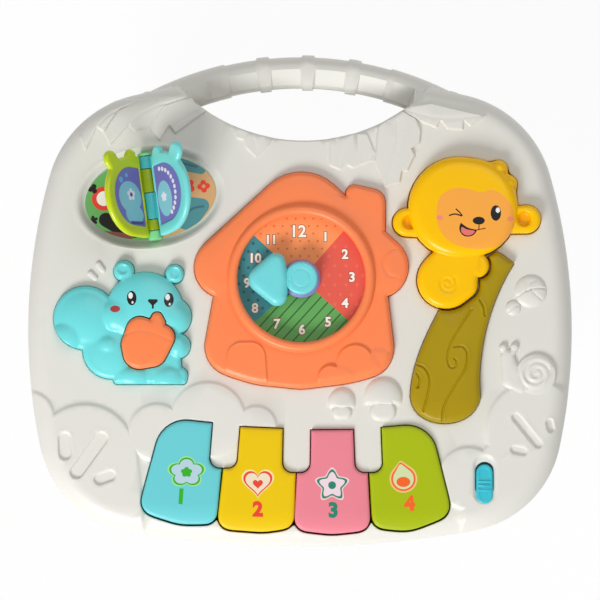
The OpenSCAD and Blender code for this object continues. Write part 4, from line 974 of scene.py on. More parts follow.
def tufts_softened(loop):
    """The monkey's outline with its tufts of hair drawn in."""
    away = np.min([distance(loop, tuft) for tuft in MONKEY_TUFTS], axis=0)
    return relaxed(loop, eased((9.5 - away) / 3), 55)


def bowed(loop):
    """The house's outline with its bottom edge drawn as one soft curve."""
    x, y = loop.T
    bow = bead(x + 26, 2.0, 15) + bead(x - 27, 1.2, 14)
    lowered = np.column_stack([x, y - bow * eased((-30 - y) / 8)])
    return relaxed(lowered, eased((-26 - y) / 6) * eased((np.abs(x) - 34) / 6), 60)


def panel():
    rim = section("top_cover", PART_Z + 1.0)
    outer_edge, hand_edge = smooth(max(rim, key=size), 1.0), smooth(around(rim, GAP_POINT), 1.0)
    cut = section("top_cover", TOP_Z - 0.6)
    seats = {name: smooth(around(cut, point)) for name, point in SEAT_POINTS.items()}
    for name, change in (("house", bowed), ("keys", front_softened), ("monkey", tufts_softened)):
        seats[name] = change(seats[name])
    slot_edge = smooth(around(section("top_cover", TOP_Z - 2.2), SWITCH), 0.5)
    sheet = Sheet(outer_edge, [hand_edge, *seats.values(), slot_edge], step=2.3,
                  rings=(0.25, 0.7, 1.3, 2.2, 2.8, 4.2, 6.0, 8.2, 10.6), marks=panel_marks(),
                  hole_rings=(0.25, 0.6, 1.1))
    top = panel_height(sheet.xy) - edge_drop(sheet.d, 0.8)
    rim_d = np.min([line_distance(sheet.xy, edge, closed=True) for edge in (outer_edge, hand_edge)], axis=0)
    low = np.where(rim_d < 2.5, PART_Z, top - WALL)
    between("panel_cover", "panel", sheet, top, low, ["white_plastic"], "cover_white", replaces=["top_cover"])


panel()

# ---------------------------------------------------------------- house and clock
DIAL_Z = TOP_Z + 0.6
WINDOW_R, BEZEL_R, DIAL_R = 37.9, 43.4, 39.9
HUB_Z, HUB_TOP, HUB_R, COLLAR_R = DIAL_Z + 5.5, DIAL_Z + 11.0, 9.8, 11.4
ROOF = [(45.8, 19.6, 18.5), (0.8, 47.9, 28), (-44.2, 19.6, 18.5)]
CHIMNEY = [(43.8, 42.6, 6.8), (42.3, 57.6, 8.3), (32.3, 63.1, 5.2), (30.8, 45.6, 5)]
DOOR = [(-43.2, -52, 2), (-21.4, -52, 2), (-29.2, -34, 8.6), (-34.6, -34, 8.6)]
SHRUBS = {1.3: [(32.6, -37.5, 11), (40, -46, 9)], 0.8: [(46.2, -36.5, 6.8), (54, -38, 5)],
          1.8: [(17.8, -46, 7.2), (26, -47, 6)]}
EAVE = (57.6, 21.6, 8.4)
SCRIBED = [(54.5, 68, 8), (50.5, 58, 7)]  # arcs beside the bezel: radius, direction, half length
roof_loop, chimney_loop, door_loop = (dense(band(b), 1.3) for b in (ROOF, CHIMNEY, DOOR))
shrub_loops = {rise: dense(band(shrub, step=10), 1.3) for rise, shrub in SHRUBS.items()}


def bezel_height(r):
    t = (r - (WINDOW_R + BEZEL_R) / 2) / ((BEZEL_R - WINDOW_R) / 2 + 0.25)
    return np.where(np.abs(t) < 1, 6.0 + 3.0 * np.sqrt(np.clip(1 - t * t, 0, 1)), NOWHERE)


def house_grooves(p, r):
    """How deep the scribed arcs beside the bezel and under the eave are."""
    angle = np.degrees(np.arctan2(p[:, 1] - CLOCK[1], p[:, 0] - CLOCK[0]))
    deep = bead(distance(p, EAVE) - EAVE[2], 0.4, 0.55) * eased((EAVE[0] + 2 - p[:, 0]) / 3)
    for radius, way, half in SCRIBED:
        deep += eased((half - np.abs(angle - way)) / 3) * bead(r - radius, 0.35, 0.6)
    return deep


def house_height(p, d):
    """Height of the house, from the distance d to its outside."""
    roof, chimney, door = signed(p, roof_loop, 30), signed(p, chimney_loop, 6), signed(p, door_loop, 6)
    walls = 4.3 + 0.5 * eased((p[:, 1] + 62) / 30)
    high = 5.0 + 0.9 * eased((-roof - 1) / 9)
    height = walls + (high - walls) * eased(0.5 - roof / 1.6)
    height = np.where((chimney < 0) & (roof > 0.0), 4.0 - 0.03 * (p[:, 1] - 50), height)
    height -= bead(roof - 0.3, 0.7, 0.5) * (chimney < 0)
    clear = eased((d - 1.8) / 2.4)
    height += clear * (0.8 * step_up(door, 1.0, 0.9) + bead(door, 0.45, 0.6))
    for rise, loop in shrub_loops.items():
        height = np.maximum(height, walls + clear * step_up(signed(p, loop, 6), rise, 1.0))
    r = distance(p, CLOCK)
    height -= house_grooves(p, r) + edge_drop(d, 3.2) * (r > BEZEL_R + 1)
    return TOP_Z + merge(height, bezel_height(r), 0.8)


def house():
    edge = bowed(edge_of("house_insert", TOP_Z + 1.5, 0.9))
    marks = beside([roof_loop], (-0.9, 0, 0.9)) + beside([chimney_loop], (-0.2, 0.2))
    marks += beside([door_loop], (-0.8, -0.2, 0.4, 1.2)) + beside(shrub_loops.values(), (-0.7, 0.7))
    marks += [circle(EAVE, EAVE[2] + by, 40) for by in (-0.6, 0.0, 0.6)]
    marks += [circle(CLOCK, r, 150) for r in (38.3, 39.2, 40.6, 42.0, 43.0, 43.6, 44.2, 45.2)]
    sheet = Sheet(edge, [circle(CLOCK, WINDOW_R, 180)], step=1.7, rings=(0.2, 0.55, 1.1, 1.8, 2.6, 3.3),
                  marks=marks, hole_rings=(0.12,))
    top = house_height(sheet.xy, line_distance(sheet.xy, edge, closed=True))
    between("house", "panel", sheet, top, SEAT_Z, ["orange_plastic"], "orange_plastic",
            replaces=["house_insert"])


def scatter(loop, pitch, keep_from, clear):
    """Places on a staggered grid inside an outline, away from the given points."""
    low, high = loop.min(0), loop.max(0)
    out = []
    for k, y in enumerate(np.arange(low[1], high[1], pitch * 0.86)):
        for x in np.arange(low[0] + (k % 2) * pitch / 2, high[0], pitch):
            p = np.array([x, y])
            free = all(np.linalg.norm(p - q) > clear for q in keep_from)
            if free and inside(p[None], loop)[0] and line_distance(p[None], loop, True)[0] > 1.5:
                out.append(p)
    return out


# The dial's numbers: place in the photograph and height
NUMBERS = {"12": (299.5, 231, 8.6), "1": (325.5, 236.5, 6.6), "2": (345, 254, 6.8), "3": (352, 277, 6.8),
           "4": (345, 303, 6.8), "5": (328, 322, 6.8), "6": (302, 329.5, 6.8), "7": (277, 324, 6.8),
           "8": (255, 308, 6.8), "9": (247, 283, 6.8), "10": (256, 258, 6.6), "11": (271, 239.5, 6.6)}
SECTOR_ENDS = [48.6, 137.5, 223.0, 318.5, 408.6]


def clock():
    sectors = [np.vstack([CLOCK, polar(CLOCK, DIAL_R - 0.1, np.linspace(a, b, 40))])
               for a, b in zip(SECTOR_ENDS, SECTOR_ENDS[1:])]
    places = [from_pixel(x, y) for x, y, _ in NUMBERS.values()] + [CLOCK]
    dots = [circle(p, 0.95, 14) for p in scatter(sectors[1], 5.6, places, 3.6)]
    flecks = [star(p, 1.0, 3, 0.5, 20) for p in scatter(sectors[0], 5.2, places, 4.2)]
    stars = [star(p, 1.5, 4, 0.4, 15) for p in scatter(sectors[3], 6.6, places, 4.2)]
    along, across = polar((0, 0), 40.0, 48), polar((0, 0), 5.1, -42)
    middles = [CLOCK + (-7, -24) + k * across for k in range(-6, 7)]
    stripes = [ribbon([middle - along, middle + along], 0.42) for middle in middles]
    sheet = Sheet(circle(CLOCK, DIAL_R, 120), step=4.0, marks=sectors + dots + flecks + stars + stripes)
    groups = [([loop], index) for index, loop in enumerate(sectors)] + [(dots, 4), (flecks, 5), (stars, 6)]
    paint = sheet.painted(groups)
    paint[(paint == 2) & (sheet.painted([(stripes, 1)]) == 1)] = 7
    finishes = prints("dial_orange dial_teal dial_green dial_red dial_dot dial_fleck dial_star dial_stripe")
    between("clock_face", "panel", sheet, DIAL_Z, DIAL_Z - 1.4, finishes, "dial_print", paint,
            replaces=["clock_dial"])
    marks = [(said, *from_pixel(x, y), h * 0.84, 0) for said, (x, y, h) in NUMBERS.items()]
    for name, finish, z, fatten in (("clock_number_rims", "number_rim_print", 0.03, 0.62),
                                    ("clock_numbers", "number_print", 0.09, 0.26)):
        lettering(name, "panel", marks, DIAL_Z + z, finish, "dial_print", 0.06, fatten)


WING = [(-22.4, 12.0, 8.2), (-14.5, 21.4, 6.2), (-13.6, 2.2, 6.1), (-13.4, 12.0, 6.6)]
WING_JOINT = (-7.2, 12.3)
COLLAR = [(3.0, DIAL_Z + 0.8), (COLLAR_R - 0.3, DIAL_Z + 0.8), (COLLAR_R, DIAL_Z + 1.0),
          (COLLAR_R, DIAL_Z + 1.4), (COLLAR_R - 0.2, DIAL_Z + 1.7), (HUB_R + 0.6, HUB_Z - 1.8),
          (HUB_R + 0.3, HUB_Z - 1.6), (3.0, HUB_Z - 1.6)]


def hand():
    wing_loop = band(WING, step=5)
    edge = joined(WING_JOINT, [wing_loop, circle(CLOCK, HUB_R, 72)], 2.0)
    marks = beside([wing_loop], (-1.6, -0.8, -0.2, 0.05))
    marks += [circle(CLOCK, r, 60) for r in (9.2, 8.4, 5.9, 5.4, 4.9)]
    sheet = Sheet(edge, step=0.9, rings=(0.15, 0.4, 0.8, 1.3, 2.0), marks=marks)
    wing, r = signed(sheet.xy, wing_loop, 12), distance(sheet.xy, CLOCK)
    wing_top = HUB_TOP - 0.1 - 0.8 * edge_drop(-wing, 4.2) * (wing < 0.05)
    wing_top -= 0.02 * np.clip(7 + wing, 0, 7) ** 2
    hub_top = HUB_TOP - 1.1 - edge_drop(HUB_R - r, 1.8) - bead(r - 5.4, 0.3, 0.45)
    top = np.where(wing < 0.05, np.maximum(wing_top, np.where(r < HUB_R, hub_top - 1.2, 0)), hub_top)
    between("clock_hand_wing", "hand", sheet, top, HUB_Z - 1.0, ["cyan_plastic"], "cyan_plastic", sharp=40,
            replaces=["clock_hand"])
    gathered("hand_ring", "hand", [turned(CLOCK, COLLAR)], "violet_plastic", "violet_plastic",
             replaces=["hand_collar"])


# ---------------------------------------------------------------- squirrel and acorn
ACORN_CUT = (TOP_Z + 4, 0.7)  # height of its outline, and step along it

# Domes: x, y, half width, half depth, height, power
SQUIRREL_BODY = [
    (-127.2, -10.7, 19.2, 19.2, 7.6, 0.55), (-137.5, -21.0, 10.4, 10.0, 7.4, 0.5),
    (-111.0, -31.0, 17.6, 17.6, 6.2, 0.5), (-99.0, -45.0, 11.8, 7.4, 6.4, 0.5),
    (-78.0, -46.0, 10.4, 8.2, 6.8, 0.5), (-113.3, -26.9, 8.4, 7.0, 7.4, 0.5),
    (-72.8, -27.3, 7.4, 8.0, 7.4, 0.5), (-104.4, 17.2, 6.3, 6.3, 5.6, 0.35),
    (-74.4, 15.4, 5.7, 5.7, 5.6, 0.35)]
SQUIRREL_FACE = [(-91.9, -4.6, 23.4, 22.4, 9.6, 0.42), (-107.5, -9.4, 12.2, 11.6, 9.0, 0.5),
                 (-76.3, -10.6, 12.0, 11.2, 9.0, 0.5)]
SQUIRREL_EARS = [(-105.0, 17.9), (-74.0, 16.0)]
SQUIRREL_MARKS = [
    ([ellipse((-99.4, 0.7), (2.85, 4.3), 3, 30), ellipse((-77.5, -0.3), (2.85, 4.3), -3, 30)], 1),
    ([ellipse((-100.1, 2.2), (1.35, 1.9), 0, 20), ellipse((-78.2, 1.3), (1.35, 1.9), 0, 20)], 2),
    ([ellipse((-98.9, -1.9), (0.6, 0.8), 0, 12), ellipse((-77.0, -2.9), (0.6, 0.8), 0, 12)], 2),
    ([band([(-88.9, -0.9, 0.9), (-84.9, -0.9, 0.9), (-86.9, -2.6, 1.1)], step=20),
      ribbon([(-86.9, -2.6), (-86.9, -5.6)], 0.55)], 1),
    ([ellipse((-109.2, -5.7), (3.0, 2.0), 0, 26)], 3)]


def domes(p, table):
    return [dome(p, d[:2], d[2:4], *d[4:]) for d in table]


def squirrel_height(p, d, rim):
    """Height of the squirrel, from the distances d to any edge and rim to its outside."""
    body = over([4.2 - edge_drop(rim, 3.0), *domes(p, SQUIRREL_BODY)], 0.7)
    face = over(domes(p, SQUIRREL_FACE), 1.6)
    height = merge(body, face, 0.5)
    for ear in SQUIRREL_EARS:
        height -= 1.7 * eased((3.5 - distance(p, ear)) / 1.6) * (face < height - 0.4)
    height = np.clip(height, 0.4, 10.0) - 0.35 * edge_drop(d, 0.5)
    return TOP_Z + height - bead(p[:, 0] + 90.6, 0.7, 0.45) * eased((-44.5 - p[:, 1]) / 2)


def squirrel():
    edge = edge_of("squirrel_figure", TOP_Z + 1.5, 0.8)
    acorn_hole = moved_out(facing(edge_of("acorn_button", *ACORN_CUT)), 0.5)
    creases = [circle((-137.5, -21.0), 10.4, 60), circle((-113.3, -26.9), 8.4, 50)]
    sheet = Sheet(edge, [acorn_hole], step=1.15, rings=(0.15, 0.45, 0.9, 1.5, 2.3),
                  marks=outlines(SQUIRREL_MARKS) + creases, hole_rings=(0.15, 0.45))
    top = squirrel_height(sheet.xy, sheet.d, line_distance(sheet.xy, edge, closed=True))
    between("squirrel", "panel", sheet, top, SEAT_Z, ["teal_plastic", *prints("ink white red")],
            "teal_plastic", sheet.painted(SQUIRREL_MARKS), sharp=55, replaces=["squirrel_figure"])


def acorn():
    stem = band([(-86.2, -14, 3.2), (-82.6, -14, 3.2), (-84.4, -10.9, 3.4)], step=10)
    crease = through([(-104.5, -21.5), (-97, -18.6), (-88, -19.4), (-80, -22.5), (-75.5, -24.5)])
    sheet = Sheet(edge_of("acorn_button", *ACORN_CUT), step=1.2, rings=(0.12, 0.4, 0.9, 1.6, 2.5),
                  marks=ribbons([crease], (0.25, 1.0)) + beside([stem], (-0.6, -0.1)))
    p = sheet.xy
    top = 10.4 - edge_drop(sheet.d, 2.8) - 0.012 * np.clip(12 - sheet.d, 0, 12) ** 1.5
    top -= bead(line_distance(p, crease), 0.3, 0.6)
    top -= 0.5 * eased(-signed(p, stem, 4) / 1.2) * eased((p[:, 1] + 15) / 2)
    between("acorn", "acorn", sheet, TOP_Z + top, BUTTON_Z, ["acorn_plastic"], "orange_plastic", sharp=45,
            replaces=["acorn_button"])


# ---------------------------------------------------------------- monkey and trunk
MONKEY_TOP = 11.0
MONKEY_HEAD = band([(94.3, 54.6, 30.2), (99.6, 54.6, 29.6)], step=3)
MONKEY_BODY = band([(86.6, 11.9, 17.2), (96.7, 8.9, 8.6), (98, 24, 8), (88, 26, 8)])
MONKEY_ARM = band([(96, 19, 7.1), (105, 20.2, 7.1), (100, 27, 7.1)])
MONKEY_EARS = {(63.3, 46.0): (64.9, 46.0), (134.4, 47.8): (132.8, 47.8)}  # middle of each and of its hollow
MASK = [(82, 42), (80.6, 52), (82.5, 60), (88, 64.6), (95, 65.8), (101, 64.8), (107, 63.2), (112.6, 64.6),
        (119, 62.6), (124.6, 56), (127, 47), (124.6, 38), (118.5, 32.4), (108, 29.8), (97, 30.6), (88, 34.6)]
MOUTH = [(95.3, 44.6), (99.5, 42.0), (104.2, 40.8), (102.9, 38.3), (99.8, 36.9), (96.4, 37.6), (94.4, 40.2),
         (94.2, 42.8)]
TONGUE = [(95.6, 42.6), (98.6, 41.2), (103.2, 40.3), (102.0, 38.5), (99.6, 37.6), (96.9, 38.2), (95.2, 40.2)]
SMILE = [(94.9, 44.9), (98.4, 42.3), (103, 40.9), (106, 41.2), (109.6, 41.9)]
MONKEY_MARKS = [
    ([facing(through(MASK, True, 1.0))], 1),
    ([ellipse((82.6, 48.2), (2.0, 1.4), 0, 20), ellipse((124.2, 47.6), (1.9, 1.4), 0, 20)], 2),
    ([facing(through(MOUTH, True, 0.6))], 3),
    ([facing(through(TONGUE, True, 0.6))], 4),
    ([ribbon(through(SMILE), 0.28), ribbon([(105.8, 44.4), (105.7, 41.4)], 0.28),
      ribbon(through([(88.0, 49.4), (91.5, 50.3), (95.6, 49.2)]), 0.42),
      ribbon(through([(92.0, 53.4), (94.0, 51.6), (96.0, 49.2)]), 0.38),
      ellipse((105.6, 46.4), (3.6, 2.3), 0, 24), ellipse((115.7, 50.9), (3.05, 4.6), 0, 30)], 3),
    ([ellipse((116.9, 52.6), (1.25, 1.6), 0, 18)], 5)]
coil_a = np.linspace(0, 560, 70)
coil = polar((87.2, 9.2), 1.0 + 4.6 * coil_a / 560, 200 + coil_a)


def monkey_height(p, d):
    """Height of the monkey, from the distance d to its edge: head and tufts over body, arm and ears."""
    in_head = signed(p, MONKEY_HEAD, 34)
    head = MONKEY_TOP - edge_drop(-in_head, 6.5) * 0.85 - 0.0016 * np.clip(26 + in_head, 0, 30) ** 2
    head = np.where(in_head <= 0.02, head, NOWHERE)
    belly = np.where(signed(p, MONKEY_BODY) < 0.3, 7.2, NOWHERE) - edge_drop(d, 4.2) * 0.9
    belly -= bead(line_distance(p, coil), 0.8, 0.75)
    arm = np.where(signed(p, MONKEY_ARM) < 0.3, 6.6, NOWHERE) - edge_drop(d, 3.0)
    rest = np.maximum(belly, arm)
    for ear, hollow in MONKEY_EARS.items():
        height = np.where(distance(p, ear) < 14, 6.4, NOWHERE) - edge_drop(d, 2.6)
        rest = np.maximum(rest, height - 2.6 * eased((5.2 - distance(p, hollow)) / 2.2))
    rest = np.maximum(rest, np.where(rest < -20, 5.0 - edge_drop(d, 2), NOWHERE))
    tufts = over([dome(p, tuft, 5.2, 8.2, 0.45) for tuft in MONKEY_TUFTS], 1.0)
    return TOP_Z + np.clip(merge(merge(head, tufts, 1.0), rest, 0.35), 0.5, MONKEY_TOP)


def monkey():
    edge = tufts_softened(edge_of("monkey_button", TOP_Z + 3, 0.8))
    hollows = [ellipse(hollow, (3.9, 4.6), 0, 30) for hollow in MONKEY_EARS.values()]
    marks = outlines(MONKEY_MARKS) + beside([MONKEY_HEAD], (-3.6, -2.4, -1.4, -0.7, -0.2, 0.15, 0.8))
    marks += ribbons([coil], (0.4, 1.1)) + hollows
    marks += [circle(ear, r, 36) for ear in MONKEY_EARS for r in (5.6, 4.6, 3.4)]
    sheet = Sheet(edge, step=1.3, rings=(0.15, 0.45, 0.9, 1.5, 2.4, 3.4), marks=marks)
    paint = sheet.painted(MONKEY_MARKS)
    # The ear hollows outside the head take the darker amber finish: painted shade in the recesses.
    paint[(sheet.painted([(hollows, 1)]) == 1) & ~sheet.within(MONKEY_HEAD)] = 6
    finishes = ["yellow_plastic", *prints("peach blush ink tongue white"), "ear_hollow_painted_shade_plastic"]
    between("monkey", "monkey", sheet, monkey_height(sheet.xy, sheet.d), BUTTON_Z, finishes,
            "yellow_plastic", paint, sharp=50, replaces=["monkey_button"])


GROOVES = [
    [(101.1, -5.7), (95.1, -15.4), (89.4, -25.2), (87.2, -33.9), (88.6, -39.8), (91.6, -39.9), (92.7, -36.9),
     (90.9, -34.6)],
    [(91, -27.9), (96.2, -27.9), (98.9, -32.2), (97.8, -40.3), (91.9, -50.1), (86.4, -59.8), (84.5, -66.4),
     (84.2, -72)],
    [(69.1, -38.2), (74, -40.9), (76.7, -47.4), (75.4, -56.6), (72.9, -66)],
    [(69.1, -43.6), (70.9, -47.4), (69.6, -52.2)],
    [(106.5, -0.2), (109.0, -5.1), (109.4, -9.4)]]
TRUNK_TOP = 6.2


def trunk():
    lines = [through(g) for g in GROOVES]
    sheet = Sheet(edge_of("tree_trunk", TOP_Z + 2, 0.8), step=1.5, rings=(0.15, 0.45, 0.9, 1.5, 2.4, 3.6),
                  marks=ribbons(lines, (0.22, 0.6, 0.95, 1.3, 1.8)))
    top = TRUNK_TOP - edge_drop(sheet.d, 3.0) - 0.008 * np.clip(14 - sheet.d, 0, 14) ** 2
    for line in lines:
        d = line_distance(sheet.xy, line)
        top += bead(d - 1.25, 0.3, 0.5) - bead(d, 0.9, 0.5)
    between("trunk", "panel", sheet, TOP_Z + np.minimum(top, TRUNK_TOP), SEAT_Z, ["olive_plastic"],
            "olive_plastic", sharp=50, replaces=["tree_trunk"])


# ---------------------------------------------------------------- keys
KEY_TOP, KEY_LOW = 241.2, 227.5

# Body, slot, inks of the print's halo, line and middle, front edge, pixels of print and number, its turn
KEYS = [
    ("key_cyan", "teal_plastic", "green_halo green pale_blue", -131.6, (187, 472), (181.5, 496), -4),
    ("key_yellow", "yellow_plastic", "cream_halo scarlet pale_cream", -136.6, (258, 484), (258, 508.5), -1),
    ("key_pink", "pink_plastic", "pink_halo pine pale_pink", -137.9, (332, 485), (333, 509.5), 1),
    ("key_green", "green_key_plastic", "sand_halo tangerine pale_green", -135.9, (403, 476), (409, 503), 4)]


def key_motif(number, c):
    """A key's printed picture: the outlines of its halo, line and middle, and details."""
    if number == 0:
        return [petals(c, r, 5, 0.3, 90, 0.82) for r in (11.6, 10.6, 9.3)], [petals(c, 3.4, 5, 0.3, 90, 0.9)]
    if number == 1:
        return [heart(c, r) for r in (9.6, 8.6, 7.3)], [heart(c - (0, 0.2), 3.0)]
    if number == 2:
        return [soft_star(c, r, 5, 0.36) for r in (10.6, 9.5, 7.9)], [circle(c, 2.3, 24)]
    drops = [band([(c[0], c[1] - 1.6, r), (c[0] - 1.5, c[1] + r * 0.95, 1.2)], 8) for r in (8.2, 7.2, 6.1)]
    return drops, [ellipse(c - (0, 3.4), (4.1, 3.0), 0, 30)]


def key(number):
    body, slot, inks, front, print_place, number_place, angle = KEYS[number]
    node = f"key_{number + 1}"
    layers, details = key_motif(number, from_pixel(*print_place))
    layers = [facing(loop) for loop in layers]
    sheet = Sheet(front_softened(edge_of(node, KEY_TOP - 3.0, 0.7, 50)), step=1.7,
                  rings=(0.12, 0.4, 0.85, 1.5, 2.5, 4.0), marks=layers + details)
    top = KEY_TOP - edge_drop(sheet.d, 1.5) - 0.35 * (np.clip(5.5 - sheet.d, 0, 5.5) / 5.5) ** 2
    top -= 1.5 * (np.clip(front + 12 - sheet.xy[:, 1], 0, 12) / 12) ** 2
    paint = sheet.painted([([loop], index + 1) for index, loop in enumerate(layers)] + [(details, 2)])
    inks = prints(inks)
    between(f"piano_{node}", body, sheet, top, KEY_LOW, [f"{body}_plastic", *inks], slot, paint, sharp=50,
            replaces=[node])
    mark = (str(number + 1), *from_pixel(*number_place), 8.6, angle)
    lettering(f"piano_{node}_number", body, [mark], KEY_TOP - 0.07, inks[1], slot, 0.2, 0.62)


# ---------------------------------------------------------------- book
HINGE_Z = TOP_Z + 5.0
CARD_Z = TOP_Z - DISH_DEEP - HINGE_Z
PAGE_ANGLE = 55.0
PAGE_TOP, PAGE_LOW = -0.2, -4.4
PAGE = [(7.0, -0.3, 24.0), (15.2, 0.6, 23.9)]
PAGE_EARS = [(30.6, 22.8, 5.4), (11.2, 24.4, 4.4)]
PAGE_START, LABEL_INSET, LABEL_START = 4.9, 6.6, 6.3
KNUCKLE_R = 4.1
KNUCKLES = {"left": [(2.4, 16.2), (-20.2, -14.0)], "right": [(16.6, 23.8), (-13.6, 2.0)]}
SIDES = {"left": (-1.0, 1.0), "right": (1.0, 1.0)}
# Each side: page finish, knuckle finish (a darker copy of the page colour: painted shade), body, slot.
PAGES = {"left": ("lime_plastic", "lime_painted_shade_plastic", "left_page", "lime_plastic"),
         "right": ("page_cyan_plastic", "cyan_painted_shade_plastic", "right_page", "cyan_plastic")}
LABELS = {
    "left": [([ellipse((18.0, 0.2), (10.6, 9.4), 8, 40), band([(12, -10.6, 4.6), (19, -9.8, 5.0)], 10)], 1),
             ([petals((16.6, 1.6), 3.8, 5, 0.4)], 3), ([circle((16.6, 1.6), 1.3, 14)], 2),
             ([circle((24.6, 10.6), 1.8, 16), circle((18.8, 13.2), 1.3, 14)], 4),
             ([ribbon([(8.4, -15.6), (20, -15.0)], 0.9)], 2)],
    "right": [([ellipse((14.2, -3.2), (7.4, 10.6), 0, 40)], 1),
              ([petals((13.4, -2.0), 3.0, 5, 0.4)]
               + [circle(polar((11.4, 0.2), 14.6, a), 1.35, 12) for a in np.arange(-56, 88, 13)], 3)]}
CARD_MARKS = [
    ([ellipse((-27.5, 3.2), (7.2, 7.2), 0, 40)], 3), ([ellipse((-27.5, 3.2), (4.4, 4.4), 0, 30)], 4),
    ([band([(-28, -9.5, 4.2), (-21, -14, 5.0), (-12, -17, 5.5)], 10), petals((-33.2, 9.8), 3.0, 3, 0.5, 60),
      petals((-35.4, -8.8), 2.8, 5, 0.5, 20)], 2),
    ([band([(-30, -17.4, 1.6), (-16, -21.6, 2.2)], 12)], 5), ([circle((-19.5, -14.2), 1.3, 16)], 6),
    ([band([(14, 19.5, 3.6), (25, 17.6, 4.6), (32, 12.6, 2.8)], 8),
      band([(17, -4.4, 3.2), (20, -14, 8.0), (29.5, -9.0, 4.5)], 8)], 7),
    ([ribbon(through([(20, -12), (25, -9.6), (31, -9.4)]), 0.7),
      ribbon(through([(18, 19), (24, 16.8), (30, 14.4)]), 0.7)], 8),
    ([petals((23.0, 3.8), 4.4, 4, 0.4, 45), petals((32.2, 2.4), 3.8, 4, 0.4, 0)], 3),
    ([circle((23.0, 3.8), 1.3, 14), circle((32.2, 2.4), 1.1, 14)], 1)]


def at_book(points):
    """From the hinge's own place, with its line along y, to the panel."""
    flat = points[:, :2] @ rotation(BOOK_TILT).T + BOOK
    return np.column_stack([flat, points[:, 2] + HINGE_Z])


def stood(points, side):
    """From a page lying flat, its hinge at x = 0, to where it stands."""
    c, s = math.cos(math.radians(PAGE_ANGLE)), math.sin(math.radians(PAGE_ANGLE)) * SIDES[side][0]
    x, y, z = points.T
    return at_book(np.column_stack([x * c - z * s, y, x * s + z * c]))


def flat_at(sheet, z):
    return np.column_stack([sheet.xy, np.broadcast_to(z, len(sheet.xy))])


def window_outline(side):
    inner = [(x, y, r - LABEL_INSET) for x, y, r in PAGE]
    return joined((17.0, 0.0), [band(inner, step=3)], 2.5, LABEL_START) * SIDES[side]


def page(side):
    # deep is the knuckles' finish: a darker copy of the page colour, painted shade between the pages.
    finish, deep, body, slot = PAGES[side]
    discs = [band(PAGE, step=3)] + [circle(ear, ear[2], 60) for ear in PAGE_EARS]
    outline = dense(joined((14.0, 0.0), discs, 1.5, PAGE_START) * SIDES[side])
    window = dense(window_outline(side))
    sheet = Sheet(outline, [window], step=1.5, rings=(0.12, 0.4, 0.85, 1.5, 2.2), hole_rings=(0.12, 0.4, 0.9))
    outer, inner = (line_distance(sheet.xy, loop, closed=True) for loop in (outline, window))
    from_hinge = eased((np.abs(sheet.xy[:, 0]) - PAGE_START) / 2.5)
    drop = edge_drop(outer, 2.05) * np.maximum(from_hinge, 0.2) + edge_drop(inner, 1.0)
    between(f"{side}_leaf", body, sheet, stood(flat_at(sheet, PAGE_TOP - drop), side),
            stood(flat_at(sheet, PAGE_LOW + drop), side), [finish], slot, sharp=60, replaces=[f"page_{side}"])
    arc = polar((0, 0), KNUCKLE_R, np.linspace(-2.8, 288, 44))
    profile = np.vstack([arc, [(5.9, -3.9), (5.9, -0.2)]]) * SIDES[side]
    knuckles = [prism(profile, start, end) for start, end in KNUCKLES[side]]
    knuckles = [(stood(co, side), faces) for co, faces in knuckles]
    # The knuckles take the darker page colour: painted shade between the pages.
    gathered(f"{side}_knuckles", body, knuckles, deep, slot, sharp=40)


def label(side):
    groups = [([loop * SIDES[side] for loop in loops], index) for loops, index in LABELS[side]]
    sheet = Sheet(dense(window_outline(side), 0.9), step=3.0, marks=outlines(groups))
    top, low = (stood(flat_at(sheet, z), side) for z in (PAGE_TOP - 0.8, PAGE_LOW + 0.8))
    between(f"{side}_label", PAGES[side][2], sheet, top, low,
            prints("label_purple label_blue label_deep label_dot label_sky"), "page_print",
            sheet.painted(groups), sharp=30, replaces=[f"page_{side}_label"])


def card():
    """The printed oval under the pages: fields, rings and leaves of no particular story."""
    half = np.array([(0.0, -40.0), (60.0, -40.0), (60.0, 40.0), (0.0, 40.0)])
    marks = [dense(half, 2.0)] + [facing(loop) for loop in outlines(CARD_MARKS)]
    sheet = Sheet(ellipse((0, 0), (DISH[0] - 4.8, DISH[1] - 4.8), 0, 120), step=3.5, marks=marks)
    top, low = (at_book(flat_at(sheet, z)) for z in (CARD_Z + 0.8, CARD_Z))
    finishes = prints("card_green card_tan ink scarlet number card_brown tangerine card_teal card_slate")
    between("book_picture", "panel", sheet, top, low, finishes, "card_print",
            sheet.painted([([half], 1)] + CARD_MARKS), sharp=30, replaces=["book_card"])


def bracket():
    low = CARD_Z + 0.8
    tomb = np.vstack([polar((0, 0), KNUCKLE_R, np.linspace(-34, 214, 40)), [(-3.4, low), (3.4, low)]])
    plate = dense([(-3.4, low), (3.4, low), (3.4, low + 1.2), (-3.4, low + 1.2)], 1.7)
    solids = [prism(tomb, -25.9, -20.6, 0.6), prism(tomb, 24.3, 25.9, 0.3), prism(plate, -24.0, 24.6, 0.15)]
    gathered("book_bracket", "panel", [(at_book(co), faces) for co, faces in solids], "green_plastic",
             "green_plastic", sharp=40, replaces=["hinge_bracket"])


# ---------------------------------------------------------------- slide switch
KNOB = SWITCH - (0, 3.0)
KNOB_RIBS = [(KNOB + (-3.7, y), KNOB + (3.7, y)) for y in (-3.3, -0.7, 1.9)]


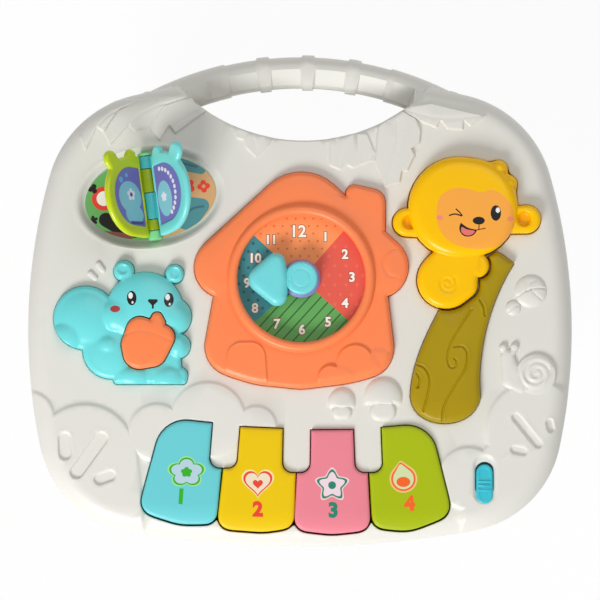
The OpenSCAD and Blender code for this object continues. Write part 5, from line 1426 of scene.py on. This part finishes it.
def switch():
    edge = dense(capsule(KNOB - (0, 6.8), KNOB + (0, 6.8), 4.9, 21), 0.5)
    sheet = Sheet(edge, step=0.7, rings=(0.1, 0.3, 0.6, 1.0, 1.5),
                  marks=ribbons(KNOB_RIBS, (0.25, 0.5, 0.75)))
    top = 239.6 - edge_drop(sheet.d, 1.3) - 0.45 * eased((sheet.d - 1.2) / 1.6)
    for left, right in KNOB_RIBS:
        top += 0.75 * eased(1 - line_distance(sheet.xy, (left + (0.5, 0), right - (0.5, 0))) / 0.85)
    between("switch_cap", "switch", sheet, top, 233.0, ["switch_plastic"], "switch_plastic", sharp=45,
            replaces=["switch_knob"])
    skirt = dense(capsule(KNOB - (0, 9.4), KNOB + (0, 9.4), 6.9, 15), 1.0)
    between("switch_skirt", "switch", Sheet(skirt, step=3.0, rings=(0.2,)), 233.45, 231.95,
            ["switch_shadow_plastic"], "switch_plastic")


# ---------------------------------------------------------------- legs and feet
LEG_SPOTS = {"front_left": (-125, -72), "front_right": (125, -72), "back_left": (-112, 78),
             "back_right": (112, 78)}
LEG_FLARE = through([(16.5, 9.0), (15.2, 13.2), (13.4, 19.5), (11.9, 29), (11.5, 38), (12.3, 80), (13.4, 130),
                     (13.9, 156)], step=2.0)
LEG = [(6.0, 4.0), (16.1, 4.0), (16.5, 4.4), *LEG_FLARE, (14.0, 160.0), (14.0, 165.0), (13.5, 165.5),
       (13.5, 166.7), (14.0, 167.2), (14.0, 171.0), (13.5, 171.5), (13.5, 172.7), (14.0, 173.2),
       (14.0, 183.2), (13.7, 183.8), (13.2, 184.0), (11.0, 184.0), (11.0, 212.0), (10.2, 213.0)]
SOLE = [(0.5, 0.6), (5.0, 0.6), (5.4, 0.0), (7.4, 0.0), (7.8, 0.6), (9.6, 0.6), (10.0, 0.0), (12.0, 0.0),
        (12.4, 0.6), (14.0, 0.6), (14.4, 0.0), (15.9, 0.0), (16.5, 0.16), (16.94, 0.6), (17.1, 1.2),
        (17.1, 3.3), (16.9, 3.75), (16.4, 4.0), (5.0, 4.0)]


def legs():
    for place, spot in LEG_SPOTS.items():
        gathered(f"leg_tube_{place}", "panel", [turned(spot, LEG)], "leg_plastic", "leg_white", sharp=28,
                 replaces=[f"leg_{place}"])
    gathered("foot_rubbers", "panel", [turned(spot, SOLE) for spot in LEG_SPOTS.values()], "foot_rubber",
             "foot_rubber", sharp=28, replaces=["foot_pads"])


for build in (house, clock, hand, squirrel, acorn, monkey, trunk):
    build()
for number in range(len(KEYS)):
    key(number)
card()
bracket()
for side in SIDES:
    page(side)
    label(side)
switch()
legs()

# The nodes that keep their own mesh
FINISHES = {
    "base_plastic": "base_shell battery_door",
    "steel": "door_screw case_screws board_screws speaker_screws hand_screw hand_washer hinge_pin key_rod",
    "plated_spring": "battery_contacts",
    "board_lacquer": "main_board key_board acorn_board monkey_board",
    "dome_rubber": "key_dome_1 key_dome_2 key_dome_3 key_dome_4 acorn_dome monkey_dome",
    "cell_wrap": "battery_cells",
    "switch_body_plastic": "slide_switch speaker_ring",
    "speaker_cone": "speaker",
}
for finish, nodes in FINISHES.items():
    for node in nodes.split():
        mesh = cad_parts[node].data
        mesh.materials.clear()
        mesh.materials.append(materials[finish])


# ---------------------------------------------------------------- camera, light and floor
FOCUS = Vector((0.0, 0.0, TOP_Z * MM))
TILT = math.radians(3.0)
DISTANCE = 2.2
SENSOR = 36
FLOOR_REACH = 6.0
FLOOR_GREY = 0.92


def placed(name, data):
    made = bpy.data.objects.new(name, data)
    bpy.context.scene.collection.objects.link(made)
    return made


def photo_camera():
    data = bpy.data.cameras.new("camera")
    data.sensor_width = SENSOR
    data.lens = SENSOR * DISTANCE / (PHOTO * PIXEL * MM)
    camera = placed("camera", data)
    camera.location = FOCUS + DISTANCE * Vector((0, -math.sin(TILT), math.cos(TILT)))
    camera.rotation_euler = (TILT, 0, 0)
    bpy.context.scene.camera = camera


def area_light(name, place, size, power):
    data = bpy.data.lights.new(name, "AREA")
    data.shape = "RECTANGLE"
    data.size, data.size_y = size
    data.energy = power
    lamp = placed(name, data)
    lamp.location = place
    lamp.rotation_euler = (Vector((0, 0, 0.2)) - Vector(place)).to_track_quat("-Z", "Y").to_euler()


def floor_material():
    """Pale grey that takes the object's shadow, and glows towards the camera and in reflections."""
    m = bpy.data.materials.new("floor")
    m.use_nodes = True
    tree = m.node_tree
    shader = tree.nodes["Principled BSDF"]
    fill(tree, shader, {"Base Color": (FLOOR_GREY, FLOOR_GREY, FLOOR_GREY, 1), "Roughness": 0.9})
    path = add(tree, "LightPath", {})
    seen = add(tree, "Math", {0: path.outputs["Is Camera Ray"], 1: path.outputs["Is Glossy Ray"]})
    seen.operation = "MAXIMUM"
    part = add(tree, "Math", {0: seen.outputs[0], 1: FLOOR_GREY})
    part.operation = "MULTIPLY"
    glow = add(tree, "Emission", {"Strength": 1.0})
    mix = add(tree, "MixShader", {0: part.outputs[0], 1: shader.outputs[0], 2: glow.outputs[0]})
    fill(tree, tree.nodes["Material Output"], {"Surface": mix.outputs[0]})
    return m


photo_camera()
area_light("key_light", (-0.65, -1.5, 1.3), (0.8, 0.6), 31.5)
area_light("fill_light", (0.6, 1.2, 2.0), (1.6, 1.6), 12)

world = bpy.data.worlds.new("studio")
bpy.context.scene.world = world
world.use_nodes = True
fill(world.node_tree, world.node_tree.nodes["Background"], {"Color": (1, 1, 1, 1), "Strength": 0.4})

floor_mesh = bpy.data.meshes.new("floor")
floor_corners = [(x * FLOOR_REACH, y * FLOOR_REACH, 0) for x, y in ((-1, -1), (1, -1), (1, 1), (-1, 1))]
floor_mesh.from_pydata(floor_corners, [], [(0, 1, 2, 3)])
floor_mesh.materials.append(floor_material())
floor = placed("floor", floor_mesh)

bpy.context.scene.view_settings.view_transform = "Standard"
